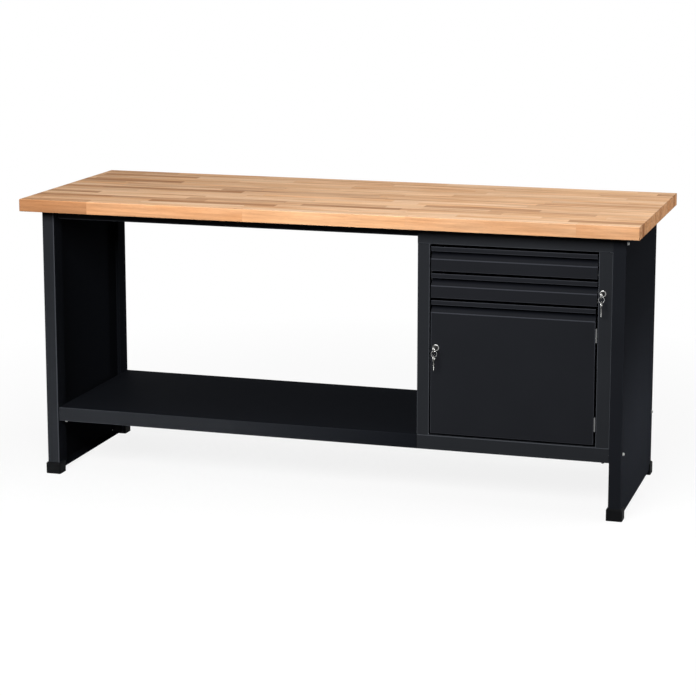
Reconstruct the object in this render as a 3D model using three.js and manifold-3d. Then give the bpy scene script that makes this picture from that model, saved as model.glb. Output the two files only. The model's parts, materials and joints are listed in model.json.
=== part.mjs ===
import * as THREE from 'three';
import { mergeVertices } from 'three/addons/utils/BufferGeometryUtils.js';
import Module from 'manifold-3d';

// Workbench with a beech worktop, folded sheet-steel side panels, an open bay with a
// bottom shelf, and a cabinet with two drawers over one door. Millimetres, +Z up.
// X runs along the bench, the front faces -Y, and the floor is at z = 0.

// Clearances
const FIT_GAP = 0.3;
const RUNNING_GAP = 0.4;

// Worktop and how far it stands out over the base
const BENCH_HEIGHT = 920;
const WORKTOP_LENGTH = 2000;
const WORKTOP_DEPTH = 750;
const WORKTOP_THICKNESS = 40;
const WORKTOP_EASED_EDGE = 2;
const SIDE_OVERHANG = 49;
const FRONT_OVERHANG = 65;
const REAR_OVERHANG = 95;

// Side panels
const PANEL_SHEET = 2;
const PANEL_FLANGE = 40;
const PANEL_LIP = 62;
const PANEL_GROUND_GAP = 14;
const CORNER_RELIEF = 4;
const FOLD_RADIUS = 1.5;

// Cap feet
const FOOT_HEIGHT = 38;
const FOOT_WALL = 4;
const FOOT_LENGTH = 45;
const FOOT_CHAMFER = 4;

// Rails under the worktop
const RAIL_SHEET = 2;
const RAIL_HEIGHT = 35;
const RAIL_DEPTH = 40;
const RAIL_SET_BACK = 38;

// Bottom shelf
const CARCASS_SET_BACK = 7;
const SHELF_TOP = 224.5;
const SHELF_FASCIA = 46.5;
const SHELF_SHEET = 1.5;
const SHELF_RETURN = 18;

// Cabinet carcass
const CABINET_WIDTH = 606;
const CABINET_SHEET = 1.2;
const LEFT_STILE = 39;
const RIGHT_STILE = 43.5;
const STILE_RETURN = 17;
const REAR_RETURN = 15;
const TOP_RAIL_HEIGHT = 52.1;
const TOP_RAIL_DEPTH = 30;
const BACK_FLANGE = 12;

// Drawer and door fronts
const FRONT_SHEET = 1;
const FRONT_DEPTH = 16;
const FRONT_GAP = 6.5;
const LATCH_SIDE_GAP = 4;
const HINGE_SIDE_GAP = 6.2;
const DRAWER_SIDE_GAP = 3;
const DRAWER_COUNT = 2;
const DRAWER_FRONT_HEIGHT = 77.2;
const RIDGE_HEIGHT = 15;
const RIDGE_HEM = 6.5;
const RIDGE_SET_BACK = 1.5;
const RIDGE_FALL = 4;
const GROOVE_DROP = 7;
const SLANT_HEIGHT = 17;
const GRIP_RADIUS = 1.5;

// Drawer trays
const TRAY_SHEET = 1;
const TRAY_HEIGHT = 58;
const TRAY_LENGTH = 460;
const TRAY_LIFT = 3.5;
const TRAY_HEM = 6;

// Telescopic slides
const SLIDE_WIDTH = 12.7;
const SLIDE_HEIGHT = 35;
const SLIDE_LENGTH = 440;
const SLIDE_SHEET = 1.2;
const SLIDE_FRONT = 34;
const SLIDE_LIFT = 3;
const SLIDE_ARM = 9.5;
const SLIDE_FOLD_RADIUS = 0.4;
const RUNNER_FRONT = 30;
const RUNNER_MARGIN = 6;

// Inner shelf
const INNER_SHELF_TOP = 420;
const INNER_SHELF_FLANGE = 20;
const INNER_SHELF_SET_BACK = 35;
const SUPPORT_LEG = 20;

// Hinges
const HINGE_HEIGHT = 43;
const HINGE_LEAF = 1.2;
const HINGE_LEAF_REACH = 15;
const HINGE_PROUD = 1;
const HINGE_PIN_RADIUS = 1.2;
const HINGE_PIN_END = 1;
const UPPER_HINGE_DROP = 82;
const LOWER_HINGE_RISE = 65;

// Cam locks
const LOCK_BEZEL_RADIUS = 11;
const LOCK_BEZEL_DEPTH = 4;
const LOCK_BEZEL_CHAMFER = 1.5;
const LOCK_BARREL_RADIUS = 9;
const LOCK_BARREL_LENGTH = 16.5;
const LOCK_PLUG_RADIUS = 6.5;
const LOCK_TAIL_SIDE = 5;
const CAM_THICKNESS = 2;
const DOOR_CAM_REACH = 34;
const DOOR_CAM_WIDTH = 12;
const DRAWER_CAM_RADIUS = 8;
const DOOR_LOCK_FROM_EDGE = 17.5;
const DOOR_LOCK_DROP = 149.5;
const DRAWER_LOCK_FROM_EDGE = 14.5;
const DRAWER_LOCK_DROP = 125.5;

// Keys and rings
const KEY_THICKNESS = 2;
const KEY_BLADE_WIDTH = 7;
const KEY_BLADE_DEPTH = 18;
const KEY_NECK = 9;
const KEY_NOTCH_DEPTH = 1.2;
const KEY_NOTCH_PITCH = 4;
const KEY_NOTCH_COUNT = 4;
const BOW_HEIGHT = 24;
const BOW_LENGTH = 24;
const BOW_RIM = 4.5;
const RING_RADIUS = 8.6;
const RING_WIRE_RADIUS = 0.8;
const RING_HANG = 5;

// Central locking of the drawers
const BAR_THICKNESS = 2.5;
const BAR_WIDTH = 18;
const BAR_TRAVEL = 7;
const BAR_TAB_HEIGHT = 6;
const BAR_TAB_OVERLAP = 5;
const BAR_END_MARGIN = 10;
const CATCH_REACH = 8;
const CATCH_HEIGHT = 6.5;
const CATCH_SHEET = 2;
const CATCH_FOOT = 14;
const CATCH_GAP = 2;
const DRIVE_PIN_RADIUS = 2;
const DRIVE_SLOT_GAP = 0.5;
const STUD_RADIUS = 2;
const STUD_HEAD_RADIUS = 4;
const STUD_HEAD = 2;
const STUD_SPACING = 30;
const STUD_RISE = 44;

// Facets
const BEND_STEPS = 3;
const ROUND_STEPS = 24;
const ARC_STEPS = 6;

// Places worked out from the sizes above
const frameTop = BENCH_HEIGHT - WORKTOP_THICKNESS - FIT_GAP;
const panelFront = FRONT_OVERHANG - WORKTOP_DEPTH / 2;
const panelRear = WORKTOP_DEPTH / 2 - REAR_OVERHANG;
const webOuter = WORKTOP_LENGTH / 2 - SIDE_OVERHANG;
const lipFace = webOuter - PANEL_FLANGE;
const carcassFront = panelFront + CARCASS_SET_BACK;
const carcassRear = panelRear - CARCASS_SET_BACK;
const carcassBottom = SHELF_TOP - SHELF_FASCIA;
const cabinetRight = lipFace - FIT_GAP;
const cabinetLeft = cabinetRight - CABINET_WIDTH;
const wallInnerLeft = cabinetLeft + CABINET_SHEET + FIT_GAP;
const wallInnerRight = cabinetRight - CABINET_SHEET - FIT_GAP;
const openingLeft = cabinetLeft + LEFT_STILE;
const openingRight = cabinetRight - RIGHT_STILE;
const openingTop = frameTop - TOP_RAIL_HEIGHT;
const backRear = carcassRear - CABINET_SHEET - FIT_GAP;
const backFront = backRear - BACK_FLANGE;
const frontLeft = openingLeft + LATCH_SIDE_GAP;
const doorRight = openingRight - HINGE_SIDE_GAP;
const drawerRight = openingRight - DRAWER_SIDE_GAP;
const drawerPitch = DRAWER_FRONT_HEIGHT + FRONT_GAP;
const doorTop = openingTop - FRONT_GAP - DRAWER_COUNT * drawerPitch;
const doorHeight = doorTop - SHELF_TOP - FRONT_GAP;
const trayLeft = openingLeft + SLIDE_WIDTH + 2 * FIT_GAP;
const trayRight = openingRight - SLIDE_WIDTH - 2 * FIT_GAP;
const trayFront = FRONT_DEPTH + FIT_GAP;
const trayBottom = TRAY_LIFT - DRAWER_FRONT_HEIGHT;
const slideMiddle = trayBottom + SLIDE_LIFT + SLIDE_HEIGHT / 2;
const slideTop = slideMiddle + SLIDE_HEIGHT / 2;
const hingeAxisX = openingRight - HINGE_SIDE_GAP / 2;
const hingeAxisY = carcassFront - HINGE_PROUD;
const knuckleRadius = HINGE_SIDE_GAP / 2 - FIT_GAP;
const camFront = LOCK_BARREL_LENGTH + 2 * FIT_GAP + RUNNING_GAP;
const camRear = camFront + CAM_THICKNESS;
const barFront = camRear + FIT_GAP + STUD_HEAD / 2;
const barRear = barFront + BAR_THICKNESS;
const bowMiddle = LOCK_BEZEL_DEPTH + KEY_NECK + BOW_LENGTH / 2;
const ringPivotDrop = (BOW_HEIGHT - BOW_RIM) / 2;
const ringMiddle = -ringPivotDrop - RING_HANG;
const spareWindowTop = ringMiddle - RING_RADIUS + RING_WIRE_RADIUS + FIT_GAP;
const spareBowMiddle = spareWindowTop - BOW_LENGTH / 2 + BOW_RIM;
const drawerLockX = openingRight + DRAWER_LOCK_FROM_EDGE;
const drawerLockZ = openingTop - DRAWER_LOCK_DROP;
const drivePinReach = BAR_TRAVEL / 2;
const tabBottom = slideTop + CATCH_GAP;
const catchBottom = tabBottom + BAR_TAB_HEIGHT + CATCH_GAP;

// Finishes
const FINISHES = {
  beech: { color: 0xd9a873, roughness: 0.55, metalness: 0 },
  blackPaint: { color: 0x26282c, roughness: 0.5, metalness: 0.1 },
  footPlastic: { color: 0x1b1c1e, roughness: 0.65, metalness: 0 },
  zinc: { color: 0xaeb2b5, roughness: 0.35, metalness: 1 },
  chrome: { color: 0xdadcde, roughness: 0.12, metalness: 1 },
};

const wasm = await Module();
wasm.setup();

/** Closed solid of a geometry, with shared vertices merged and slivers at poles left out. */
function solid(geometry) {
  const bare = geometry.clone();
  bare.deleteAttribute('normal');
  bare.deleteAttribute('uv');
  const merged = mergeVertices(bare, 1e-4);
  const corners = merged.index.array;
  const triangles = [];
  for (let i = 0; i < corners.length; i += 3) {
    const [a, b, c] = corners.subarray(i, i + 3);
    if (a !== b && b !== c && c !== a) triangles.push(a, b, c);
  }
  return new wasm.Manifold(new wasm.Mesh({
    numProp: 3,
    vertProperties: Float32Array.from(merged.attributes.position.array),
    triVerts: Uint32Array.from(triangles),
  }));
}

/** Geometry of a solid, ready for a mesh. */
function geometryOf(body) {
  const { vertProperties, triVerts } = body.getMesh();
  const geometry = new THREE.BufferGeometry();
  geometry.setAttribute('position', new THREE.BufferAttribute(vertProperties, 3));
  geometry.setIndex(new THREE.BufferAttribute(triVerts, 1));
  const flat = geometry.toNonIndexed();
  flat.computeVertexNormals();
  return flat;
}

/** One solid from several that overlap. */
function joined(...bodies) {
  return bodies.reduce((sum, body) => sum.add(body));
}

/** Box between two corners. */
function box([x0, x1], [y0, y1], [z0, z1]) {
  const geometry = new THREE.BoxGeometry(Math.abs(x1 - x0), Math.abs(y1 - y0), Math.abs(z1 - z0));
  return solid(geometry.translate((x0 + x1) / 2, (y0 + y1) / 2, (z0 + z1) / 2));
}

/** Prism of a shape along an axis: the shape lies in (y, z), (x, z) or (x, y). */
function prism(shape, axis, [from, to]) {
  const options = { depth: to - from, bevelEnabled: false, curveSegments: ARC_STEPS };
  const geometry = new THREE.ExtrudeGeometry(shape, options);
  const [right, ahead, up] = [[1, 0, 0], [0, 1, 0], [0, 0, 1]].map((v) => new THREE.Vector3(...v));
  const turn = new THREE.Matrix4();
  if (axis === 'x') turn.makeBasis(ahead, up, right).setPosition(from, 0, 0);
  if (axis === 'y') turn.makeBasis(right, up, ahead.negate()).setPosition(0, to, 0);
  if (axis === 'z') turn.setPosition(0, 0, from);
  return solid(geometry.applyMatrix4(turn));
}

/** Round bar along Y or Z through a point of the plane across it. */
function rod(radius, axis, [from, to], [a, b]) {
  const geometry = new THREE.CylinderGeometry(radius, radius, to - from, ROUND_STEPS);
  const middle = (from + to) / 2;
  if (axis === 'y') return solid(geometry.translate(a, middle, b));
  return solid(geometry.rotateX(Math.PI / 2).translate(a, b, middle));
}

/** Body of revolution about Y from a closed outline of [radius, y] points, outer wall upwards. */
function turned(outline) {
  const points = [...outline, outline[0]].map(([r, y]) => new THREE.Vector2(r, y));
  return solid(new THREE.LatheGeometry(points, ROUND_STEPS));
}

/** Outline of a sheet of even thickness folded along a path of corner points. */
function foldedSheet(corners, thickness, insideRadius = FOLD_RADIUS) {
  const path = corners.map(([a, b]) => new THREE.Vector2(a, b));
  const headings = path.slice(1).map((point, i) => point.clone().sub(path[i]).normalize());
  const leftOf = (heading) => new THREE.Vector2(-heading.y, heading.x);
  const sides = [[], []];
  const addPair = (point, normal) => {
    sides[0].push(point.clone().addScaledVector(normal, thickness / 2));
    sides[1].unshift(point.clone().addScaledVector(normal, -thickness / 2));
  };
  addPair(path[0], leftOf(headings[0]));
  for (let i = 1; i < headings.length; i++) {
    const [before, after] = [headings[i - 1], headings[i]];
    const bend = Math.atan2(before.cross(after), before.dot(after));
    const radius = (insideRadius + thickness / 2) * Math.sign(bend);
    const start = path[i].clone().addScaledVector(before, -radius * Math.tan(bend / 2));
    const centre = start.addScaledVector(leftOf(before), radius);
    for (let step = 0; step <= BEND_STEPS; step++) {
      const normal = leftOf(before).rotateAround(new THREE.Vector2(), (bend * step) / BEND_STEPS);
      addPair(centre.clone().addScaledVector(normal, -radius), normal);
    }
  }
  addPair(path.at(-1), leftOf(headings.at(-1)));
  return new THREE.Shape([...sides[0], ...sides[1]]);
}

/** Rectangle with round corners, centred on a point. */
function roundedRectangle([a, b], width, height, radius) {
  const [w, h] = [width / 2 - radius, height / 2 - radius];
  const shape = new THREE.Path();
  shape.absarc(a + w, b + h, radius, 0, Math.PI / 2);
  shape.absarc(a - w, b + h, radius, Math.PI / 2, Math.PI);
  shape.absarc(a - w, b - h, radius, Math.PI, 1.5 * Math.PI);
  shape.absarc(a + w, b - h, radius, 1.5 * Math.PI, 2 * Math.PI);
  shape.closePath();
  return shape;
}

/** Named mesh of a solid in a group. */
function addPiece(group, name, body, finish) {
  const mesh = new THREE.Mesh(geometryOf(body), new THREE.MeshStandardMaterial(FINISHES[finish]));
  mesh.name = name;
  group.add(mesh);
}

/** Group placed in the bench. */
function addGroup(parent, ...place) {
  const group = new THREE.Group();
  group.position.set(...place);
  parent.add(group);
  return group;
}

function worktop() {
  const [halfLength, halfDepth] = [WORKTOP_LENGTH / 2, WORKTOP_DEPTH / 2];
  const outline = new THREE.Shape([
    new THREE.Vector2(-halfLength, -halfDepth),
    new THREE.Vector2(halfLength, -halfDepth),
    new THREE.Vector2(halfLength, halfDepth),
    new THREE.Vector2(-halfLength, halfDepth),
  ]);
  const slab = new THREE.ExtrudeGeometry(outline, {
    depth: WORKTOP_THICKNESS - 2 * WORKTOP_EASED_EDGE,
    bevelThickness: WORKTOP_EASED_EDGE,
    bevelSize: WORKTOP_EASED_EDGE,
    bevelOffset: -WORKTOP_EASED_EDGE,
    bevelSegments: BEND_STEPS,
  });
  return solid(slab.translate(0, 0, BENCH_HEIGHT - WORKTOP_THICKNESS + WORKTOP_EASED_EDGE));
}

/** Plan of a side panel's sheet: lip, front flange, web, rear flange, lip. */
function panelPlan(side, lip) {
  const half = PANEL_SHEET / 2;
  const lipX = side * (lipFace + half);
  const webX = side * (webOuter - half);
  return [
    [lipX, panelFront + lip],
    [lipX, panelFront + half],
    [webX, panelFront + half],
    [webX, panelRear - half],
    [lipX, panelRear - half],
    [lipX, panelRear - lip],
  ];
}

function sidePanel(side) {
  const sheet = foldedSheet(panelPlan(side, PANEL_LIP), PANEL_SHEET);
  const flangeX = [side * lipFace, side * (webOuter - PANEL_SHEET / 2)];
  const lipEnd = PANEL_LIP + CORNER_RELIEF;
  const flangeY = [panelFront + lipEnd, panelRear - lipEnd];
  return joined(
    prism(sheet, 'z', [PANEL_GROUND_GAP, frameTop]),
    box(flangeX, flangeY, [frameTop - PANEL_SHEET, frameTop]),
    box(flangeX, flangeY, [PANEL_GROUND_GAP, PANEL_GROUND_GAP + PANEL_SHEET]),
  );
}

/** Cap foot over one lower corner of a side panel, with a pocket for the folded sheet. */
function capFoot(side, end) {
  const width = PANEL_FLANGE + 2 * FOOT_WALL;
  const middleX = side * (webOuter - PANEL_FLANGE / 2);
  const middleY = (end < 0 ? panelFront : panelRear) + end * (FOOT_WALL - FOOT_LENGTH / 2);
  const inset = { width: width - 2 * FOOT_CHAMFER, length: FOOT_LENGTH - 2 * FOOT_CHAMFER };
  const outline = new THREE.Shape(
    roundedRectangle([middleX, middleY], inset.width, inset.length, FOOT_CHAMFER).getPoints(BEND_STEPS),
  );
  const block = new THREE.ExtrudeGeometry(outline, {
    depth: FOOT_HEIGHT,
    bevelThickness: FOOT_CHAMFER,
    bevelSize: FOOT_CHAMFER,
    bevelSegments: 1,
  });
  const cap = solid(block.translate(0, 0, -FOOT_CHAMFER));
  const below = box(
    [middleX - width, middleX + width],
    [middleY - FOOT_LENGTH, middleY + FOOT_LENGTH],
    [-FOOT_HEIGHT, 0],
  );
  const plan = panelPlan(side, PANEL_LIP + FIT_GAP);
  const pocket = foldedSheet(plan, PANEL_SHEET + 2 * FIT_GAP, FOLD_RADIUS - FIT_GAP);
  return cap.subtract(below).subtract(prism(pocket, 'z', [PANEL_GROUND_GAP - FIT_GAP, 2 * FOOT_HEIGHT]));
}

/** Channel rail under the worktop with bolting plates at both ends; end is -1 in front, 1 behind. */
function topRail(end) {
  const half = RAIL_SHEET / 2;
  const face = end < 0 ? panelFront + RAIL_SET_BACK : panelRear - RAIL_SET_BACK;
  const open = face - end * RAIL_DEPTH;
  const [low, high] = [frameTop - RAIL_HEIGHT, frameTop];
  const [left, right] = [FIT_GAP - lipFace, cabinetLeft - FIT_GAP];
  const channel = foldedSheet([
    [open, low + half],
    [face - end * half, low + half],
    [face - end * half, high - half],
    [open, high - half],
  ], RAIL_SHEET);
  const plateY = [face - end * half, open].sort((a, b) => a - b);
  const plateZ = [low + half, high - half];
  return joined(
    prism(channel, 'x', [left, right]),
    box([left, left + RAIL_SHEET], plateY, plateZ),
    box([right - RAIL_SHEET, right], plateY, plateZ),
  );
}

/** Shelf pan between the left panel and the cabinet, with fascias folded down and bolting plates. */
function bottomShelf() {
  const half = SHELF_SHEET / 2;
  const [left, right] = [FIT_GAP - lipFace, cabinetLeft - FIT_GAP];
  const pan = foldedSheet([
    [carcassFront + SHELF_RETURN, carcassBottom + half],
    [carcassFront + half, carcassBottom + half],
    [carcassFront + half, SHELF_TOP - half],
    [carcassRear - half, SHELF_TOP - half],
    [carcassRear - half, carcassBottom + half],
    [carcassRear - SHELF_RETURN, carcassBottom + half],
  ], SHELF_SHEET);
  const plateY = [carcassFront + half, carcassRear - half];
  const plateZ = [carcassBottom + half, SHELF_TOP - half];
  return joined(
    prism(pan, 'x', [left, right]),
    box([left, left + SHELF_SHEET], plateY, plateZ),
    box([right - SHELF_SHEET, right], plateY, plateZ),
  );
}

/** Cabinet wall with its front stile and rear return folded on; side is -1 left, 1 right. */
function cabinetWall(side) {
  const half = CABINET_SHEET / 2;
  const outer = side < 0 ? cabinetLeft : cabinetRight;
  const stileEdge = side < 0 ? openingLeft : openingRight;
  const stileZ = [SHELF_TOP + FIT_GAP, openingTop - FIT_GAP];
  const webX = [outer, outer - side * CABINET_SHEET];
  const sheet = foldedSheet([
    [stileEdge + side * half, carcassFront + STILE_RETURN],
    [stileEdge + side * half, carcassFront + half],
    [outer - side * half, carcassFront + half],
    [outer - side * half, carcassRear - half],
    [outer - side * REAR_RETURN, carcassRear - half],
  ], CABINET_SHEET);
  const bend = CABINET_SHEET + FOLD_RADIUS;
  const web = box(webX, [carcassFront + bend, carcassRear - bend], [carcassBottom, frameTop]);
  return joined(prism(sheet, 'z', stileZ), web);
}

/** Cabinet floor with the bottom rail and a rear flange folded down. */
function cabinetFloor() {
  const half = CABINET_SHEET / 2;
  const sheet = foldedSheet([
    [carcassFront + SHELF_RETURN, carcassBottom + half],
    [carcassFront + half, carcassBottom + half],
    [carcassFront + half, SHELF_TOP - half],
    [backRear - half, SHELF_TOP - half],
    [backRear - half, carcassBottom + half],
  ], CABINET_SHEET);
  return prism(sheet, 'x', [wallInnerLeft, wallInnerRight]);
}

function cabinetTopRail() {
  const half = CABINET_SHEET / 2;
  const channel = foldedSheet([
    [carcassFront + TOP_RAIL_DEPTH, openingTop + half],
    [carcassFront + half, openingTop + half],
    [carcassFront + half, frameTop - half],
    [carcassFront + TOP_RAIL_DEPTH, frameTop - half],
  ], CABINET_SHEET);
  return prism(channel, 'x', [wallInnerLeft, wallInnerRight]);
}

function cabinetBack() {
  const half = CABINET_SHEET / 2;
  const sheet = foldedSheet([
    [wallInnerLeft + half, backFront],
    [wallInnerLeft + half, backRear - half],
    [wallInnerRight - half, backRear - half],
    [wallInnerRight - half, backFront],
  ], CABINET_SHEET);
  return prism(sheet, 'z', [SHELF_TOP + FIT_GAP, frameTop]);
}

/** Channel that carries the slides of one side, its flanges against the cabinet wall. */
function runnerPlate(side) {
  const half = CABINET_SHEET / 2;
  const wall = side < 0 ? wallInnerLeft : wallInnerRight;
  const face = side < 0 ? openingLeft - half : openingRight + half;
  const highest = openingTop - FRONT_GAP + slideTop + RUNNER_MARGIN;
  const lowest = highest - (DRAWER_COUNT - 1) * drawerPitch - SLIDE_HEIGHT - 2 * RUNNER_MARGIN;
  const channel = foldedSheet([
    [wall, lowest + half],
    [face, lowest + half],
    [face, highest - half],
    [wall, highest - half],
  ], CABINET_SHEET);
  return prism(channel, 'y', [carcassFront + RUNNER_FRONT, backFront - RUNNING_GAP]);
}

function innerShelf() {
  const half = CABINET_SHEET / 2;
  const low = INNER_SHELF_TOP - INNER_SHELF_FLANGE;
  const [front, rear] = [carcassFront + INNER_SHELF_SET_BACK, backFront - RUNNING_GAP];
  const pan = foldedSheet([
    [front + half, low],
    [front + half, INNER_SHELF_TOP - half],
    [rear - half, INNER_SHELF_TOP - half],
    [rear - half, low],
  ], CABINET_SHEET);
  return prism(pan, 'x', [wallInnerLeft, wallInnerRight]);
}

/** Angle on a cabinet wall that the inner shelf rests on. */
function shelfSupport(side) {
  const half = CABINET_SHEET / 2;
  const wall = side < 0 ? wallInnerLeft : wallInnerRight;
  const top = INNER_SHELF_TOP - CABINET_SHEET - FIT_GAP - half;
  const angle = foldedSheet([
    [wall - side * half, top - SUPPORT_LEG],
    [wall - side * half, top],
    [wall - side * SUPPORT_LEG, top],
  ], CABINET_SHEET);
  const inside = CABINET_SHEET + FOLD_RADIUS;
  const front = carcassFront + INNER_SHELF_SET_BACK + inside;
  return prism(angle, 'y', [front, backFront - RUNNING_GAP - inside]);
}

/** Folded front with the grip at its top: hem, ridge, recess, slanted face, flat face, lower return. */
function gripFront(height, right) {
  const half = FRONT_SHEET / 2;
  const inner = FRONT_DEPTH - half;
  const slantTop = -RIDGE_HEIGHT - GROOVE_DROP;
  const profile = foldedSheet([
    [RIDGE_HEM, half - RIDGE_HEIGHT],
    [half, half - RIDGE_HEIGHT],
    [half + RIDGE_SET_BACK, -half],
    [inner, -half - RIDGE_FALL],
    [inner, slantTop],
    [half, slantTop - SLANT_HEIGHT],
    [half, half - height],
    [inner, half - height],
  ], FRONT_SHEET, GRIP_RADIUS);
  return prism(profile, 'x', [frontLeft, right]);
}

/** Open tray of a drawer with folded upper edges. */
function drawerTray() {
  const half = TRAY_SHEET / 2;
  const top = trayBottom + TRAY_HEIGHT;
  const [front, rear] = [trayFront, trayFront + TRAY_LENGTH];
  const trough = foldedSheet([
    [trayLeft + TRAY_HEM, top - half],
    [trayLeft + half, top - half],
    [trayLeft + half, trayBottom + half],
    [trayRight - half, trayBottom + half],
    [trayRight - half, top - half],
    [trayRight - TRAY_HEM, top - half],
  ], TRAY_SHEET, SLIDE_FOLD_RADIUS);
  const wallX = [trayLeft + half, trayRight - half];
  const wallZ = [trayBottom + half, top - half];
  return joined(
    prism(trough, 'y', [front, rear]),
    box(wallX, [front, front + TRAY_SHEET], wallZ),
    box(wallX, [rear - TRAY_SHEET, rear], wallZ),
  );
}

/** Angle on the right of a tray, whose lug the locking bar's tab stands in front of. */
function lockCatch() {
  const half = CATCH_SHEET / 2;
  const front = barRear + CATCH_GAP + half;
  const angle = foldedSheet([
    [trayRight + CATCH_REACH, front],
    [trayRight + FIT_GAP + half, front],
    [trayRight + FIT_GAP + half, front + CATCH_FOOT],
  ], CATCH_SHEET, SLIDE_FOLD_RADIUS);
  return prism(angle, 'z', [catchBottom, catchBottom + CATCH_HEIGHT]);
}

/** Nested channels of a telescopic slide: outer on the cabinet, middle, inner on the tray. */
function slideMembers(side) {
  const half = SLIDE_SHEET / 2;
  const step = SLIDE_SHEET + RUNNING_GAP;
  const face = side < 0 ? openingLeft + FIT_GAP : openingRight - FIT_GAP;
  const innerWeb = SLIDE_WIDTH - half;
  const sections = {
    outer: { web: half, arm: SLIDE_ARM, reach: SLIDE_HEIGHT / 2 - half },
    middle: { web: step + half, arm: innerWeb - step, reach: SLIDE_HEIGHT / 2 - step - half },
    inner: { web: innerWeb, arm: 2 * step, reach: SLIDE_HEIGHT / 2 - 2 * step - half },
  };
  const member = ({ web, arm, reach }) => {
    const channel = foldedSheet([
      [face - side * arm, slideMiddle - reach],
      [face - side * web, slideMiddle - reach],
      [face - side * web, slideMiddle + reach],
      [face - side * arm, slideMiddle + reach],
    ], SLIDE_SHEET, SLIDE_FOLD_RADIUS);
    return prism(channel, 'y', [SLIDE_FRONT, SLIDE_FRONT + SLIDE_LENGTH]);
  };
  return Object.entries(sections).map(([name, section]) => [name, member(section)]);
}

function addDrawer(bench, number) {
  const top = openingTop - FRONT_GAP - (number - 1) * drawerPitch;
  const drawer = addGroup(bench, 0, carcassFront, top);
  addPiece(drawer, `drawer_${number}_front`, gripFront(DRAWER_FRONT_HEIGHT, drawerRight), 'blackPaint');
  addPiece(drawer, `drawer_${number}_tray`, drawerTray(), 'blackPaint');
  addPiece(drawer, `drawer_${number}_catch`, lockCatch(), 'zinc');
  for (const [side, label] of [[-1, 'left'], [1, 'right']]) {
    for (const [member, body] of slideMembers(side)) {
      addPiece(drawer, `drawer_${number}_${label}_${member}_slide`, body, 'zinc');
    }
  }
}

/** Door pan with the grip at its top, side returns and the hole for its lock. */
function doorPanel() {
  const half = FRONT_SHEET / 2;
  const flatTop = -RIDGE_HEIGHT - GROOVE_DROP - SLANT_HEIGHT;
  const returnY = [half, FRONT_DEPTH];
  const returnZ = [half - doorHeight, flatTop];
  const lockX = frontLeft + DOOR_LOCK_FROM_EDGE;
  const hole = rod(LOCK_BARREL_RADIUS + FIT_GAP, 'y', [-FRONT_DEPTH, FRONT_DEPTH], [lockX, -DOOR_LOCK_DROP]);
  return joined(
    gripFront(doorHeight, doorRight),
    box([frontLeft, frontLeft + FRONT_SHEET], returnY, returnZ),
    box([doorRight - FRONT_SHEET, doorRight], returnY, returnZ),
  ).subtract(hole);
}

/** Hinge leaf about its own axis: a plate beside the gap and the knuckles that hold the pin. */
function hingeLeaf(side, knuckles) {
  const free = knuckleRadius + RUNNING_GAP;
  const plateX = [side * knuckleRadius, side * (knuckleRadius - HINGE_LEAF)];
  const plate = box(plateX, [free, HINGE_LEAF_REACH], [-HINGE_HEIGHT / 2, HINGE_HEIGHT / 2]);
  const bores = rod(HINGE_PIN_RADIUS + FIT_GAP, 'z', [-HINGE_HEIGHT, HINGE_HEIGHT], [0, 0]);
  const barrels = knuckles.map((span) => joined(
    rod(knuckleRadius, 'z', span, [0, 0]),
    box(plateX, [0, free + HINGE_LEAF], span),
  ));
  return joined(plate, ...barrels).subtract(bores);
}

function addHinge(bench, label, z) {
  const hinge = addGroup(bench, hingeAxisX, hingeAxisY, z);
  const end = HINGE_HEIGHT / 2;
  const inner = HINGE_HEIGHT / 6;
  const pinEnd = end + HINGE_PIN_END;
  const frameKnuckles = [[-end, -inner - RUNNING_GAP], [inner + RUNNING_GAP, end]];
  addPiece(hinge, `${label}_hinge_frame_leaf`, hingeLeaf(1, frameKnuckles), 'zinc');
  addPiece(hinge, `${label}_hinge_door_leaf`, hingeLeaf(-1, [[-inner, inner]]), 'zinc');
  addPiece(hinge, `${label}_hinge_pin`, rod(HINGE_PIN_RADIUS, 'z', [-pinEnd, pinEnd], [0, 0]), 'zinc');
}

/** Lock housing: bezel in front of the sheet, barrel through it, bore for the plug. */
function lockHousing() {
  const bore = LOCK_PLUG_RADIUS + FIT_GAP;
  const front = -LOCK_BEZEL_DEPTH;
  return turned([
    [bore, front],
    [bore, LOCK_BARREL_LENGTH],
    [LOCK_BARREL_RADIUS, LOCK_BARREL_LENGTH],
    [LOCK_BARREL_RADIUS, -FIT_GAP],
    [LOCK_BEZEL_RADIUS, -FIT_GAP],
    [LOCK_BEZEL_RADIUS, front + LOCK_BEZEL_CHAMFER],
    [LOCK_BEZEL_RADIUS - LOCK_BEZEL_CHAMFER, front],
  ].reverse());
}

/** Lock plug with a keyway in front and a square tail for the cam. */
function lockPlug() {
  const tail = LOCK_TAIL_SIDE / 2;
  const keywayX = KEY_THICKNESS / 2 + FIT_GAP;
  const keywayZ = KEY_BLADE_WIDTH / 2 + FIT_GAP;
  const shank = LOCK_BARREL_LENGTH + FIT_GAP;
  const body = joined(
    rod(LOCK_PLUG_RADIUS, 'y', [FIT_GAP - LOCK_BEZEL_DEPTH, shank], [0, 0]),
    box([-tail, tail], [shank - CAM_THICKNESS, camRear + FIT_GAP], [-tail, tail]),
  );
  const keyway = box(
    [-keywayX, keywayX],
    [-LOCK_BARREL_LENGTH, KEY_BLADE_DEPTH - LOCK_BEZEL_DEPTH + FIT_GAP],
    [-keywayZ, keywayZ],
  );
  return body.subtract(keyway);
}

/** Square hole of a cam, over the plug's tail. */
function tailHole() {
  const half = LOCK_TAIL_SIDE / 2 + FIT_GAP;
  return box([-half, half], [0, 2 * camRear], [-half, half]);
}

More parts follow.
